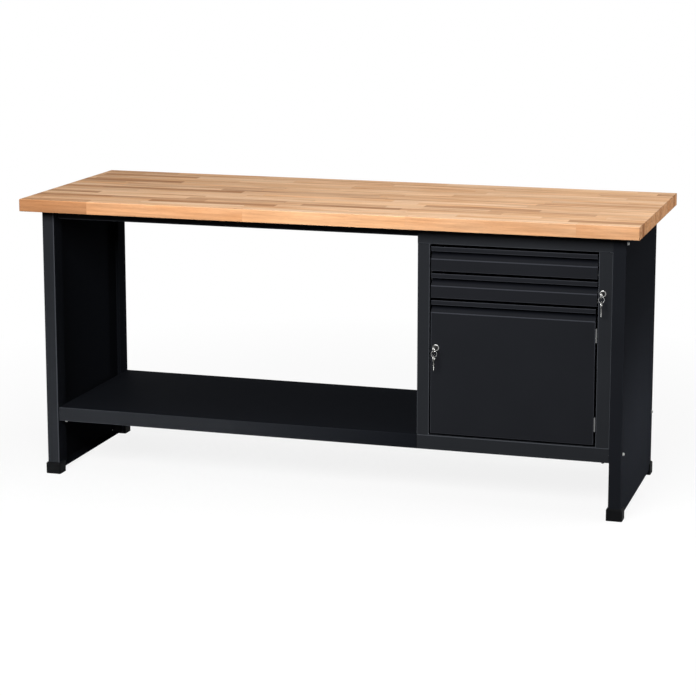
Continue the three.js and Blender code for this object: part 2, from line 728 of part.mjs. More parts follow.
/** Cam of the door lock, hanging down from the tail when unlocked. */
function doorCam() {
  const half = DOOR_CAM_WIDTH / 2;
  const arm = new THREE.Shape();
  arm.absarc(0, 0, half, 0, Math.PI);
  arm.absarc(0, half - DOOR_CAM_REACH, half, Math.PI, 2 * Math.PI);
  arm.closePath();
  return prism(arm, 'y', [camFront, camRear]).subtract(tailHole());
}

/** Cam of the drawer lock: a disc whose pin stands low on the right when unlocked. */
function drawerCam() {
  const pin = rod(DRIVE_PIN_RADIUS, 'y', [camFront, barRear + FIT_GAP], [drivePinReach, -drivePinReach]);
  return joined(rod(DRAWER_CAM_RADIUS, 'y', [camFront, camRear], [0, 0]), pin).subtract(tailHole());
}

/** Flat key about the middle of its bow: window, neck, and a notched blade towards -Y. */
function keySolid() {
  const half = KEY_BLADE_WIDTH / 2;
  const tip = -BOW_LENGTH / 2 - KEY_NECK - KEY_BLADE_DEPTH;
  const meet = Math.PI - Math.asin(KEY_BLADE_WIDTH / BOW_HEIGHT);
  const outline = new THREE.Shape();
  outline.absellipse(0, 0, BOW_LENGTH / 2, BOW_HEIGHT / 2, meet, -meet, true);
  outline.lineTo(tip + half, -half);
  outline.lineTo(tip, 0);
  outline.lineTo(tip + half, half);
  for (let notch = 0; notch < KEY_NOTCH_COUNT; notch++) {
    const start = tip + half + notch * KEY_NOTCH_PITCH;
    outline.lineTo(start + KEY_NOTCH_PITCH / 2, half - KEY_NOTCH_DEPTH);
    outline.lineTo(start + KEY_NOTCH_PITCH, half);
  }
  outline.closePath();
  const window = new THREE.Path();
  window.absellipse(0, 0, BOW_LENGTH / 2 - BOW_RIM, BOW_HEIGHT / 2 - BOW_RIM, 0, 2 * Math.PI);
  outline.holes.push(window);
  return prism(outline, 'x', [-KEY_THICKNESS / 2, KEY_THICKNESS / 2]);
}

/** Ring through the bow's window, hanging from its lower rim. */
function keyRing() {
  const torus = new THREE.TorusGeometry(RING_RADIUS, RING_WIRE_RADIUS, ARC_STEPS, ROUND_STEPS);
  return solid(torus.rotateX(Math.PI / 2).translate(0, -bowMiddle, ringMiddle));
}

function addLock(bench, label, x, z, cam) {
  const lock = addGroup(bench, x, carcassFront, z);
  addPiece(lock, `${label}_lock_housing`, lockHousing(), 'chrome');
  addPiece(lock, `${label}_lock_plug`, lockPlug(), 'chrome');
  addPiece(lock, `${label}_lock_cam`, cam, 'zinc');
  addPiece(lock, `${label}_key_ring`, keyRing(), 'chrome');
  const inPlug = addGroup(lock, 0, -bowMiddle, 0);
  inPlug.rotation.z = Math.PI;
  addPiece(inPlug, `${label}_key`, keySolid(), 'chrome');
  const onRing = addGroup(lock, 0, -bowMiddle, spareBowMiddle);
  onRing.rotation.x = Math.PI / 2;
  addPiece(onRing, `${label}_spare_key`, keySolid(), 'chrome');
}

/** Slot in (x, z) with round ends, from one centre straight up or across to another. */
function slot([x0, z0], [x1, z1], radius) {
  return roundedRectangle([(x0 + x1) / 2, (z0 + z1) / 2], x1 - x0 + 2 * radius, z1 - z0 + 2 * radius, radius);
}

/** Bar behind the right stile, about the drawer lock: tabs, slot for the cam's pin, guide slots. */
function lockingBar() {
  const left = -BAR_WIDTH / 2;
  const right = BAR_WIDTH / 2;
  const tabLeft = trayRight + CATCH_REACH - BAR_TAB_OVERLAP - drawerLockX;
  const tabs = [];
  for (let number = DRAWER_COUNT; number >= 1; number--) {
    tabs.push(openingTop - FRONT_GAP - (number - 1) * drawerPitch + tabBottom - drawerLockZ);
  }
  const pinGap = DRIVE_PIN_RADIUS + DRIVE_SLOT_GAP;
  const low = -drivePinReach - pinGap - BAR_END_MARGIN;
  const high = tabs.at(-1) + BAR_TAB_HEIGHT;
  const outline = new THREE.Shape();
  outline.moveTo(right, high);
  outline.lineTo(right, low);
  outline.lineTo(left, low);
  for (const tab of tabs) {
    outline.lineTo(left, tab);
    outline.lineTo(tabLeft, tab);
    outline.lineTo(tabLeft, tab + BAR_TAB_HEIGHT);
    outline.lineTo(left, tab + BAR_TAB_HEIGHT);
  }
  outline.closePath();
  const pinSwing = drivePinReach * Math.SQRT2;
  outline.holes.push(slot([drivePinReach, -drivePinReach], [pinSwing, -drivePinReach], pinGap));
  for (const rise of [STUD_RISE, STUD_RISE + STUD_SPACING]) {
    outline.holes.push(slot([0, rise - BAR_TRAVEL], [0, rise], STUD_RADIUS + RUNNING_GAP));
  }
  return prism(outline, 'y', [barFront, barRear]);
}

/** Headed stud on the back of the right stile that guides the locking bar. */
function guideStud() {
  const root = CABINET_SHEET + FIT_GAP;
  const head = barRear + RUNNING_GAP;
  const shank = rod(STUD_RADIUS, 'y', [root, head + STUD_HEAD / 2], [0, 0]);
  return joined(shank, rod(STUD_HEAD_RADIUS, 'y', [head, head + STUD_HEAD], [0, 0]));
}

function addCentralLocking(bench) {
  const locking = addGroup(bench, drawerLockX, carcassFront, drawerLockZ);
  addPiece(locking, 'locking_bar', lockingBar(), 'zinc');
  for (const [label, rise] of [['lower', STUD_RISE], ['upper', STUD_RISE + STUD_SPACING]]) {
    const place = addGroup(locking, 0, 0, rise);
    addPiece(place, `${label}_locking_bar_stud`, guideStud(), 'zinc');
  }
}

/** Right wall with the hole in its stile for the drawer lock. */
function lockWall() {
  const radius = LOCK_BARREL_RADIUS + FIT_GAP;
  const span = [carcassFront - STILE_RETURN, carcassFront + STILE_RETURN];
  return cabinetWall(1).subtract(rod(radius, 'y', span, [drawerLockX, drawerLockZ]));
}

const bench = new THREE.Group();
addPiece(bench, 'worktop', worktop(), 'beech');
for (const [side, label] of [[-1, 'left'], [1, 'right']]) {
  addPiece(bench, `${label}_side_panel`, sidePanel(side), 'blackPaint');
  for (const [end, place] of [[-1, 'front'], [1, 'rear']]) {
    addPiece(bench, `${place}_${label}_foot`, capFoot(side, end), 'footPlastic');
  }
  addPiece(bench, `${label}_runner_plate`, runnerPlate(side), 'zinc');
  addPiece(bench, `${label}_shelf_support`, shelfSupport(side), 'blackPaint');
}
addPiece(bench, 'front_rail', topRail(-1), 'blackPaint');
addPiece(bench, 'rear_rail', topRail(1), 'blackPaint');
addPiece(bench, 'bottom_shelf', bottomShelf(), 'blackPaint');
addPiece(bench, 'cabinet_left_wall', cabinetWall(-1), 'blackPaint');
addPiece(bench, 'cabinet_right_wall', lockWall(), 'blackPaint');
addPiece(bench, 'cabinet_floor', cabinetFloor(), 'blackPaint');
addPiece(bench, 'cabinet_top_rail', cabinetTopRail(), 'blackPaint');
addPiece(bench, 'cabinet_back', cabinetBack(), 'blackPaint');
addPiece(bench, 'inner_shelf', innerShelf(), 'blackPaint');
for (let number = 1; number <= DRAWER_COUNT; number++) addDrawer(bench, number);
const door = addGroup(bench, 0, carcassFront, doorTop);
addPiece(door, 'door_panel', doorPanel(), 'blackPaint');
addHinge(bench, 'upper', doorTop - UPPER_HINGE_DROP);
addHinge(bench, 'lower', doorTop - doorHeight + LOWER_HINGE_RISE);
addLock(bench, 'door', frontLeft + DOOR_LOCK_FROM_EDGE, doorTop - DOOR_LOCK_DROP, doorCam());
addLock(bench, 'drawer', drawerLockX, drawerLockZ, drawerCam());
addCentralLocking(bench);

export default bench;
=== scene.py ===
"""Looks of a workbench: beech worktop, folded steel base, open bay, and a cabinet of drawers over a door.

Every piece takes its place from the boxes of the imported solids, in metres. X runs along the bench,
the front faces -Y and the floor is at z = 0.
"""

import json
import math

import bmesh
import bpy
from mathutils import Matrix, Vector

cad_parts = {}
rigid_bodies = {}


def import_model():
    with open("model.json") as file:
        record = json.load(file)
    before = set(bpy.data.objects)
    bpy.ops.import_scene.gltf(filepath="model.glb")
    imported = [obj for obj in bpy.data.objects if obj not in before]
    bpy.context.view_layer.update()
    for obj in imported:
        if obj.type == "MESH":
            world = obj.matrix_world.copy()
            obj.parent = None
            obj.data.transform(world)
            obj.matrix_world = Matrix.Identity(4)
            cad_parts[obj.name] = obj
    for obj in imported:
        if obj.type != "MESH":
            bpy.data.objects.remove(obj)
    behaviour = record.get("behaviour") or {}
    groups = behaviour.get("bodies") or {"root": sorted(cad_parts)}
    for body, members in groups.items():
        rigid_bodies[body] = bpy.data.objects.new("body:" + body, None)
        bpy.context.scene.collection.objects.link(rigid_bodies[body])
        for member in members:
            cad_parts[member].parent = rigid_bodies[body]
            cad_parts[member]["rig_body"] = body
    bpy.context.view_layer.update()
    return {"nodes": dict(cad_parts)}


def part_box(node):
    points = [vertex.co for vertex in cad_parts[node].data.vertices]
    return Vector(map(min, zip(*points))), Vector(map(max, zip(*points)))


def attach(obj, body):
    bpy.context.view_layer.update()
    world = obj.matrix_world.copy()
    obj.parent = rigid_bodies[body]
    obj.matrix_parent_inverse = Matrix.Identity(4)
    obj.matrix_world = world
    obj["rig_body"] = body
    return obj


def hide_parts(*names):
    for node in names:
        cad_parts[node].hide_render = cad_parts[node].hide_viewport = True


bl_info = {
    "name": "Workbench with cabinet",
    "version": (1, 0, 0),
    "blender": (4, 5, 0),
    "location": "View3D > Sidebar > Workbench",
    "description": "Dresses the solids of a workbench",
    "category": "Add Mesh",
}

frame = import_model()

LEFT = Vector((-1, 0, 0))
RIGHT = Vector((1, 0, 0))
FORWARD = Vector((0, -1, 0))
BACKWARD = Vector((0, 1, 0))
UP = Vector((0, 0, 1))
DOWN = Vector((0, 0, -1))
X, Y, Z = range(3)
DRAWERS = ("drawer_1", "drawer_2")
SIDES = (("left", -1), ("right", 1))
ENDS = (("front", -1), ("rear", 1))
LOCKS = (("door", "door"), ("drawer", "bench"))
SLIDE_MEMBERS = ("outer", "middle", "inner")
WHITE = (1, 1, 1, 1)

# Attribute of a sheet's points: 1 for a painted highlight over a fold, -1 for painted shade in a grip's
# recess and other shaded places
PAINTED_LIGHT_AND_SHADE = "fold"

# Points nearer than this are one, in new meshes and in copies of the solids
SAME_POINT = 1e-6
SAME_CAD_POINT = 2e-6

# Turns between two faces, in degrees
FLAT_TURN = 1
FOLD_TURN = 8
CREASE_TURN = 30
CUT_TURN = 40
RIM_TURN = 50

# Facets of rounded edges and round pieces
FOLD_STEPS = 4
EDGE_STEPS = 2
HOLE_STEPS = 32
LOCK_STEPS = 48
WIRE_STEPS = 10
RING_STEPS = 96
RING_TURNS = 2
WASHER_STEPS = 32
BOLT_SIDES = 6

# Radii on the edges of small pieces
FOOT_EDGE = 0.0005
PIN_EDGE = 0.0005
KEY_EDGE = 0.0003
STUD_EDGE = 0.0004
BOLT_EDGE = 0.0006
WASHER_EDGE = 0.0003

# A lock: gap round its plug, chamfer at its mouth, depth of its rim, and how far the rim stands out
PLUG_GAP = 0.0003
LOCK_MOUTH = 0.0004
LOCK_RIM = 0.0037
LOCK_STEP = 0.002
# Rounded front of the rim: how far in from its edge, and how far back from its face
RIM_CURVE = ((0.0022, 0), (0.0012, 0.0004), (0.0003, 0.0014), (0, 0.0024))

# A foot: bulge past its block, radius of its corners, chamfer, height of its sole, depth of its line
FOOT_SWELL = 0.0012
FOOT_CORNER = 0.004
FOOT_CHAMFER = 0.004
FOOT_STEP = 0.006
FOOT_GROOVE = 0.0006

# Bolts: heads and washers, places on the panels, places under the shelf and the cabinet
BOLT_WIDTH = 0.008
BOLT_HEIGHT = 0.0036
WASHER_RADIUS = 0.0055
WASHER_HEIGHT = 0.001
BOLT_INSET = 0.016
BOLT_RISE = 0.03
BOLT_DROP = 0.006
UNDER_SIDE = 0.02
UNDER_INSET = 0.0125

# Half of the square cut out round a hole, by its radius, and reach of its corners, by that half
HOLE_SQUARE = 1.2
HOLE_CORNERS = 1.5
# Share of a gap that the cabinet's floor and top rail take up
CLOSING = 0.9
# Start of the left panel's dark inside, as a share of the fold's radius
INSIDE = 0.9
# How far the cabinet's back is set into the floor's bend
BACK_SEAT = 0.0009

# The floor: its reach, where it starts and ends to turn white, and its share of white near the bench
FLOOR_REACH = 40
FLOOR_START = 0.9
FLOOR_END = 2.6
FLOOR_WHITE = 0.86

# Opening of the grids on the strip lights, in radians
GRID_SPREAD = 0.42

# Each lamp's name, watts, place, target, size, and spread where a grid narrows it
LAMPS = (
    ("key_light", 172, (-0.1, -3.1, 2.12), (0, 0, 0.8), (2.4, 1.0)),
    ("top_light", 73, (2.0, 0, 4.2), (0.9, 0, 0.9), (3.2, 2.4)),
    ("side_light", 64, (4.4, 0.8, 1.4), (0.9, 0, 0.6), (1.6, 1.8)),
    ("back_light", 70, (-2.9, 2.5, 0.3), (-0.5, 0.3, 0.4), (2.4, 0.3)),
    ("low_right", 1.4, (3.0, -0.1, 0.21), (0.95, 0, 0.21), (0.8, 0.15), GRID_SPREAD),
    ("low_left", 1.3, (-2.3, -2.9, 0.3), (-0.72, -0.3, 0.1), (0.6, 0.2), GRID_SPREAD),
)


def number(label, description, default, **limits):
    """Property for a single number."""
    return bpy.props.FloatProperty(name=label, description=description, default=default, **limits)


def length(label, description, default):
    """Property for a length in metres."""
    return number(label, description, default, min=0, precision=4, unit="LENGTH")


def factor(label, description, default):
    """Property for a share between nothing and all."""
    return number(label, description, default, min=0, max=1, subtype="FACTOR")


def colour(label, description, default):
    """Property for a linear colour."""
    return bpy.props.FloatVectorProperty(
        name=label, description=description, default=(*default, 1), size=4, min=0, max=1, subtype="COLOR"
    )


class WoodSettings(bpy.types.PropertyGroup):
    """Beech worktop glued up from staves."""

    stave_width: length("Stave width", "Across the worktop", 0.0417)
    stave_length: length("Stave length", "Shortest stave", 0.26)
    stave_spread: length("Length spread", "How much longer the longest stave is", 0.34)
    glue_line: length("Glue line", "Width of the line between two staves", 0.0005)
    edge_round: length("Edge round", "Radius of the eased edges", 0.002)
    layout: bpy.props.IntProperty(name="Layout", description="Which layout the staves have", default=38964)
    pale: colour("Pale beech", "Lightest staves", (0.82, 0.57, 0.375))
    middle: colour("Middle beech", "Most of the staves", (0.78, 0.525, 0.34))
    dark: colour("Dark beech", "Darkest staves", (0.42, 0.235, 0.125))
    ruddy: colour("Ruddy", "Tint of the ruddiest patches", (0.88, 0.73, 0.58))
    edge_tone: colour("Long edges", "Tint of the long edges", (0.895, 0.74, 0.605))
    vein: colour("Veins", "Tint of the brown veins", (0.62, 0.49, 0.38))
    # The end tint is partly the colour of end grain and partly painted shade on the sawn ends
    end_grain_and_shade_tint: colour("End grain", "Tint of the sawn ends", (0.92, 0.76, 0.62))
    # Tone kept along the rounded edges round the sawn ends, which are darker
    end_rim_tone: factor("Burnt edge", "Tone that is kept round the sawn ends", 0.5)
    roughness: factor("Roughness", "Of the oiled face", 0.75)
    gloss: factor("Gloss", "Specular level of the oiled face", 0.06)


class SteelSettings(bpy.types.PropertyGroup):
    """Folded sheet steel and its powder coat."""

    panel_sheet: length("Panel sheet", "Thickness of the side panels and rails", 0.002)
    panel_lip: length("Panel lip", "Depth of the lips on the panels' flanges", 0.062)
    flange_start: length("Flange start", "From a panel's edge to its top flange", 0.066)
    shelf_sheet: length("Shelf sheet", "Thickness of the bottom shelf", 0.0015)
    shelf_return: length("Shelf return", "Depth of the return under the fascias", 0.018)
    cabinet_sheet: length("Cabinet sheet", "Thickness of the cabinet's sheets", 0.0012)
    stile_return: length("Stile return", "Depth of the fold along the opening", 0.017)
    rear_return: length("Rear return", "Width of the fold at the rear of the walls", 0.015)
    lock_hole: length("Lock hole", "Radius of the hole for a lock", 0.0093)
    sheet_gap: length("Sheet gap", "Gap between two sheets that meet", 0.0003)
    front_sheet: length("Front sheet", "Thickness of the door, fronts and trays", 0.001)
    tray_hem: length("Tray hem", "Width of the hem along a tray's edges", 0.006)
    fold_radius: length("Fold radius", "At the middle of the sheet", 0.0022)
    edge_round: length("Edge round", "Radius on cut edges", 0.00025)
    ridge_height: length("Ridge height", "Height of the ridge above a grip", 0.015)
    ridge_hem: length("Ridge hem", "Depth of the hem under the ridge", 0.0065)
    ridge_set_back: length("Ridge set-back", "How far the ridge leans back", 0.0015)
    ridge_fall: length("Ridge fall", "Fall of its top towards the back", 0.004)
    groove_drop: length("Groove drop", "From the ridge to the slanted face", 0.007)
    slant_height: length("Slant height", "Height of the slanted face", 0.017)
    body_paint: colour("Body paint", "Coat of most of the bench", (0.0165, 0.0178, 0.0204))
    # The panel and front paints are darker copies of the body paint, as painted shade on the right side
    # panel and on the door and drawer fronts
    panel_paint: colour("Panel paint", "Coat of the right side panel", (0.0092, 0.0101, 0.0125))
    front_paint: colour("Front paint", "Coat of the drawer fronts and door", (0.0118, 0.0126, 0.0150))
    paint_roughness: factor("Paint roughness", "Of all the coats", 0.85)
    paint_gloss: factor("Paint gloss", "Specular level of the coats", 0.003)
    panel_gloss: factor("Panel gloss", "The same on the right side panel", 0.002)
    # Painted highlight over the folds, and painted shade in the grips, on the shelf and inside the left
    # panel
    fold_highlight_gain: number("Fold gain", "How much paler a coat is over a fold", 2.9, min=1)
    panel_fold_gain: number("Panel fold gain", "The same on the right side panel", 1.15, min=1)
    painted_shade_gain: factor("Hollow gain", "Tone that is kept in the depth of a grip", 0.25)
    shelf_and_panel_shade_gain: factor("Deck gain", "The same on the shelf and in the left panel", 0.41)


class HardwareSettings(bpy.types.PropertyGroup):
    """Materials of feet, hinges, locks, keys, slides and bolts."""

    plastic: colour("Foot plastic", "Black moulded plastic", (0.0036, 0.0038, 0.0041))
    zinc: colour("Zinc", "Slides, runners, cams and bolts", (0.42, 0.43, 0.435))
    zinc_roughness: factor("Zinc roughness", "Of the zinc plating", 0.34)
    hinge: colour("Hinges", "Dull zinc", (0.17, 0.17, 0.172))
    nickel: colour("Nickel", "Lock housings", (0.33, 0.33, 0.325))
    # The plugs' dark metal is a painted reflection: it stands in for the dark surroundings mirrored in the
    # middle of each lock
    plug: colour("Plug", "Dark metal of the lock plugs", (0.035, 0.035, 0.036))
    key: colour("Keys", "Nickel silver", (0.26, 0.26, 0.25))
    ring: colour("Rings", "Bright wire of the key rings", (0.8, 0.8, 0.79))


class StageSettings(bpy.types.PropertyGroup):
    """Camera, floor and even light."""

    camera_place: bpy.props.FloatVectorProperty(
        name="Camera place", description="In metres", default=(1.96786, -6.51831, 1.89665), unit="LENGTH"
    )
    camera_yaw: number("Camera yaw", "Turn to the left", 0.2947, unit="ROTATION")
    camera_pitch: number("Camera pitch", "Tilt downwards", 0.1747, unit="ROTATION")
    camera_lens: number("Lens", "Focal length in millimetres", 109.813, unit="CAMERA")
    camera_shift: number("Shift", "Of the picture, as a share of its width", -0.12)
    floor_tone: colour("Floor", "Pale studio floor", (0.86, 0.86, 0.86))
    floor_bounce: colour("Floor bounce", "What it sends back up to the bench", (0.1, 0.1, 0.1))
    world_strength: number("World", "Even light from all round", 0.05, min=0)


class BenchSettings(bpy.types.PropertyGroup):
    """All settings of the workbench."""

    wood: bpy.props.PointerProperty(type=WoodSettings)
    steel: bpy.props.PointerProperty(type=SteelSettings)
    hardware: bpy.props.PointerProperty(type=HardwareSettings)
    stage: bpy.props.PointerProperty(type=StageSettings)


class Nodes:
    """Node tree of a material or world, with short calls that add and join nodes."""

    def __init__(self, owner):
        self.owner = owner
        owner.use_nodes = True
        self.tree = owner.node_tree
        self.tree.nodes.clear()

    def add(self, kind, inputs=None, **settings):
        """Adds a shader node. Each input is a value, or the output socket that feeds it."""
        node = self.tree.nodes.new("ShaderNode" + kind)
        for name, value in settings.items():
            setattr(node, name, value)
        for name, value in (inputs or {}).items():
            if isinstance(value, bpy.types.NodeSocket):
                self.tree.links.new(value, node.inputs[name])
            else:
                node.inputs[name].default_value = value
        return node

    def math(self, operation, first, second=0.0, third=0.0):
        """Result of a calculation on single numbers."""
        values = {0: first, 1: second, 2: third}
        return self.add("Math", values, operation=operation).outputs[0]

    def product(self, first, *others):
        """Single numbers multiplied together."""
        for other in others:
            first = self.math("MULTIPLY", first, other)
        return first

    def split(self, vector):
        """The three numbers of a vector or colour."""
        return self.add("SeparateXYZ", {"Vector": vector}).outputs

    def scaled(self, place, scale):
        """A place with each axis scaled."""
        return self.add("Mapping", {"Vector": place, "Scale": scale}).outputs["Vector"]

    def place(self, scale=(1, 1, 1)):
        """Object coordinates in metres, with each axis scaled."""
        return self.scaled(self.add("TexCoord").outputs["Object"], scale)

    def noise(self, place, scale, detail=2.0):
        """Noise of a given number of lumps in a metre."""
        inputs = {"Vector": place, "Scale": scale, "Detail": detail}
        return self.add("TexNoise", inputs).outputs["Fac"]

    def remap(self, value, low, high, start=0.0, stop=1.0):
        """A number between start and stop, taken to between low and high."""
        inputs = {"Value": value, "From Min": start, "From Max": stop, "To Min": low, "To Max": high}
        return self.add("MapRange", inputs).outputs["Result"]

    def contrast(self, noise, low, high):
        """The usual range of a noise, taken to between low and high."""
        return self.remap(noise, low, high, 0.32, 0.68)

    def tint(self, share, first, second, blend="MIX"):
        """Mix of two colours."""
        inputs = {0: share, 6: first, 7: second}
        return self.add("Mix", inputs, data_type="RGBA", blend_type=blend).outputs[2]

    def bump(self, height, strength, distance):
        """Normal of a surface with fine relief."""
        inputs = {"Height": height, "Strength": strength, "Distance": distance}
        return self.add("Bump", inputs).outputs["Normal"]

    def finish(self, **inputs):
        """Ends the tree in a principled surface and returns the material."""
        named = {name.replace("_", " "): value for name, value in inputs.items()}
        shader = self.add("BsdfPrincipled", named)
        self.add("OutputMaterial", {"Surface": shader.outputs["BSDF"]})
        return self.owner


def new_finish(name):
    """Empty node tree of a new material."""
    return Nodes(bpy.data.materials.new(name))


def shaded(tone, *gains):
    """A colour times one gain, or times one for each channel."""
    if len(gains) == 1:
        gains = gains * 3
    return (*(channel * gain for channel, gain in zip(tone, gains)), 1)


def beech(wood):
    """Oiled beech: staves of several tones in rows, with grain, ray flecks and glue lines."""
    nodes = new_finish("oiled_beech")
    here = nodes.place()
    x, y, _ = nodes.split(here)
    across = nodes.math("DIVIDE", y, wood.stave_width)
    row = nodes.math("ADD", nodes.math("FLOOR", across), wood.layout)
    row_chance = nodes.add("TexWhiteNoise", {"W": row}, noise_dimensions="1D").outputs
    row_shift = nodes.split(row_chance["Color"])[0]
    run = nodes.math("MULTIPLY_ADD", row_chance["Value"], wood.stave_spread, wood.stave_length)
    along = nodes.math("ADD", nodes.math("DIVIDE", x, run), nodes.math("MULTIPLY", row_shift, 7.0))
    stave = nodes.add("CombineXYZ", {"X": row, "Y": nodes.math("FLOOR", along)}).outputs["Vector"]
    chance = nodes.add("TexWhiteNoise", {"Vector": stave}, noise_dimensions="2D").outputs
    tone = nodes.add("ValToRGB", {"Fac": chance["Value"]})
    ramp = tone.color_ramp
    ramp.elements[0].color = wood.dark
    ramp.elements[1].color = wood.pale
    for stop in (0.28, 0.62):
        ramp.elements.new(stop).color = wood.middle

    # Every stave is cut from another place in the tree
    apart = {0: chance["Color"], 1: (3.0, 0.7, 0.9), 2: here}
    moved = nodes.add("VectorMath", apart, operation="MULTIPLY_ADD").outputs["Vector"]
    grain_place = nodes.scaled(moved, (0.045, 1, 1))
    wave = {"Vector": grain_place, "Scale": 34.0, "Distortion": 7.0, "Detail": 3.0, "Detail Scale": 1.2}
    rings = nodes.add("TexWave", wave, bands_direction="DIAGONAL").outputs["Fac"]
    fibre = nodes.noise(grain_place, 900.0, 4.0)
    streak = nodes.noise(grain_place, 130.0, 4.0)
    drift = nodes.noise(grain_place, 26.0, 3.0)
    vein = nodes.remap(nodes.noise(nodes.scaled(moved, (0.03, 1, 1)), 75.0), 0.0, 1.0, 0.56, 0.68)
    patch = nodes.contrast(nodes.noise(nodes.scaled(moved, (0.22, 1, 1)), 22.0, 3.0), 0.0, 1.0)
    cells = {"Vector": nodes.scaled(moved, (0.16, 1, 1)), "Scale": 330.0}
    cell = nodes.add("TexVoronoi", cells).outputs["Distance"]
    fleck = nodes.remap(cell, 0.0, 1.0, 0.1, 0.24)

    # Glue lines, and what the sawn ends and the long edges show
    row_edge = nodes.math("MULTIPLY", nodes.math("PINGPONG", across, 0.5), wood.stave_width)
    end_edge = nodes.math("MULTIPLY", nodes.math("PINGPONG", along, 0.5), run)
    edge = nodes.math("MINIMUM", row_edge, end_edge)
    line = nodes.remap(edge, 0.72, 1.0, 0.3 * wood.glue_line, wood.glue_line)
    normal = nodes.split(nodes.add("NewGeometry").outputs["Normal"])
    end = nodes.math("ABSOLUTE", normal[0])
    flank = nodes.math("ABSOLUTE", normal[1])
    pores = nodes.remap(nodes.noise(moved, 420.0, 3.0), 0.72, 1.2)
    # Darker along the rounded edges round the sawn ends
    brink = nodes.math("PINGPONG", end, 0.5)

    grain = nodes.product(
        nodes.remap(rings, 0.94, 1.04),
        nodes.contrast(fibre, 0.92, 1.08),
        nodes.contrast(streak, 0.87, 1.11),
        nodes.contrast(drift, 0.9, 1.1),
        nodes.remap(fleck, 0.86, 1.0),
        line,
        nodes.tint(end, WHITE, pores),
        nodes.tint(end, WHITE, line),
        nodes.remap(brink, 1.0, wood.end_rim_tone, 0.0, 0.3),
    )
    shade = nodes.add("CombineXYZ", {"X": grain, "Y": grain, "Z": grain}).outputs["Vector"]
    ruddy = nodes.split(chance["Color"])[1]
    warmth = nodes.math("MULTIPLY_ADD", ruddy, 0.5, nodes.math("MULTIPLY", patch, 0.5))
    hue = nodes.tint(warmth, wood.ruddy, WHITE)
    veined = nodes.math("MULTIPLY", vein, nodes.math("SUBTRACT", 1.0, flank))
    wood_tone = tone.outputs["Color"]
    layers = ((1.0, hue), (end, wood.end_grain_and_shade_tint), (flank, wood.edge_tone), (veined, wood.vein), (1.0, shade))
    for share, layer in layers:
        wood_tone = nodes.tint(share, wood_tone, layer, "MULTIPLY")
    return nodes.finish(
        Base_Color=wood_tone,
        Roughness=nodes.remap(fibre, wood.roughness - 0.08, wood.roughness + 0.08),
        Specular_IOR_Level=wood.gloss,
        Normal=nodes.bump(nodes.math("MULTIPLY", fibre, line), 0.25, 0.0004),
    )


def powder_coat(steel, part, gloss, fold_highlight_gain, painted_shade_gain=1.0):
    """Matt black powder coat, with a painted highlight over the folds and painted shade in the recesses
    and other shaded places.
    """
    nodes = new_finish(f"{part}_coat")
    paint = getattr(steel, f"{part}_paint")
    here = nodes.place()
    cloud = nodes.noise(here, 5.0, 3.0)
    peel = nodes.noise(here, 520.0)
    fold = nodes.add("Attribute", attribute_name=PAINTED_LIGHT_AND_SHADE).outputs["Fac"]
    flat = nodes.tint(cloud, shaded(paint, 0.88), shaded(paint, 1.14))
    # Painted shade: darker and bluer where the attribute falls below zero
    depth = nodes.remap(fold, painted_shade_gain, 1.0, -1.0, -0.45)
    painted_shade_tint = shaded(paint, 0.92, 1.0, 1.2)
    flat = nodes.tint(1.0, nodes.tint(depth, painted_shade_tint, flat), depth, "MULTIPLY")
    return nodes.finish(
        # Painted highlight: paler over the folds
        Base_Color=nodes.tint(fold, flat, shaded(paint, fold_highlight_gain)),
        Roughness=nodes.remap(cloud, steel.paint_roughness - 0.05, steel.paint_roughness + 0.05),
        Specular_IOR_Level=gloss,
        Normal=nodes.bump(peel, 0.14, 0.0004),
    )


def moulded_plastic(hardware):
    """Black plastic with the fine spark grain of its mould."""
    nodes = new_finish("foot_plastic")
    here = nodes.place()
    spark = nodes.noise(here, 1400.0, 3.0)
    cloud = nodes.noise(here, 30.0)
    return nodes.finish(
        Base_Color=nodes.tint(cloud, hardware.plastic, shaded(hardware.plastic, 1.6)),
        Roughness=nodes.remap(cloud, 0.6, 0.75),
        Specular_IOR_Level=0.03,
        Normal=nodes.bump(spark, 0.3, 0.0003),
    )


def zinc_plate(hardware):
    """Zinc-plated steel, faintly clouded and drawn along Y."""
    nodes = new_finish("zinc_plate")
    roughness = hardware.zinc_roughness
    cloud = nodes.noise(nodes.place(), 60.0, 3.0)
    drawn = nodes.noise(nodes.place((1, 0.02, 1)), 1800.0)
    return nodes.finish(
        Base_Color=nodes.tint(cloud, hardware.zinc, shaded(hardware.zinc, 0.86, 0.85, 0.8)),
        Metallic=1.0,
        Roughness=nodes.remap(drawn, roughness - 0.08, roughness + 0.08),
        Normal=nodes.bump(drawn, 0.06, 0.0002),
    )


def plated(name, metal, roughness):
    """Plated metal with hairline wear."""
    nodes = new_finish(name)
    cloud = nodes.noise(nodes.place(), 160.0)
    hair = nodes.noise(nodes.place((1, 1, 0.06)), 2600.0)
    return nodes.finish(
        Base_Color=nodes.tint(cloud, metal, shaded(metal, 0.85)),
        Metallic=1.0,
        Roughness=nodes.remap(hair, roughness - 0.05, roughness + 0.1),
        Normal=nodes.bump(hair, 0.04, 0.0001),
    )


def body_coat(steel):
    """Coat of most of the bench, with painted shade on the shelf and inside the left panel."""
    return powder_coat(steel, "body", steel.paint_gloss, steel.fold_highlight_gain, steel.shelf_and_panel_shade_gain)


def shaded_panel_coat(steel):
    """Coat of the right side panel: a darker copy of the body coat, as painted shade on that side, with a
    fainter painted highlight over its folds.
    """
    return powder_coat(steel, "panel", steel.panel_gloss, steel.panel_fold_gain)


def shaded_front_coat(steel):
    """Coat of the drawer fronts and the door: a darker copy of the body coat, as painted shade, with more
    painted shade in their grips.
    """
    return powder_coat(steel, "front", steel.paint_gloss, steel.fold_highlight_gain, steel.painted_shade_gain)


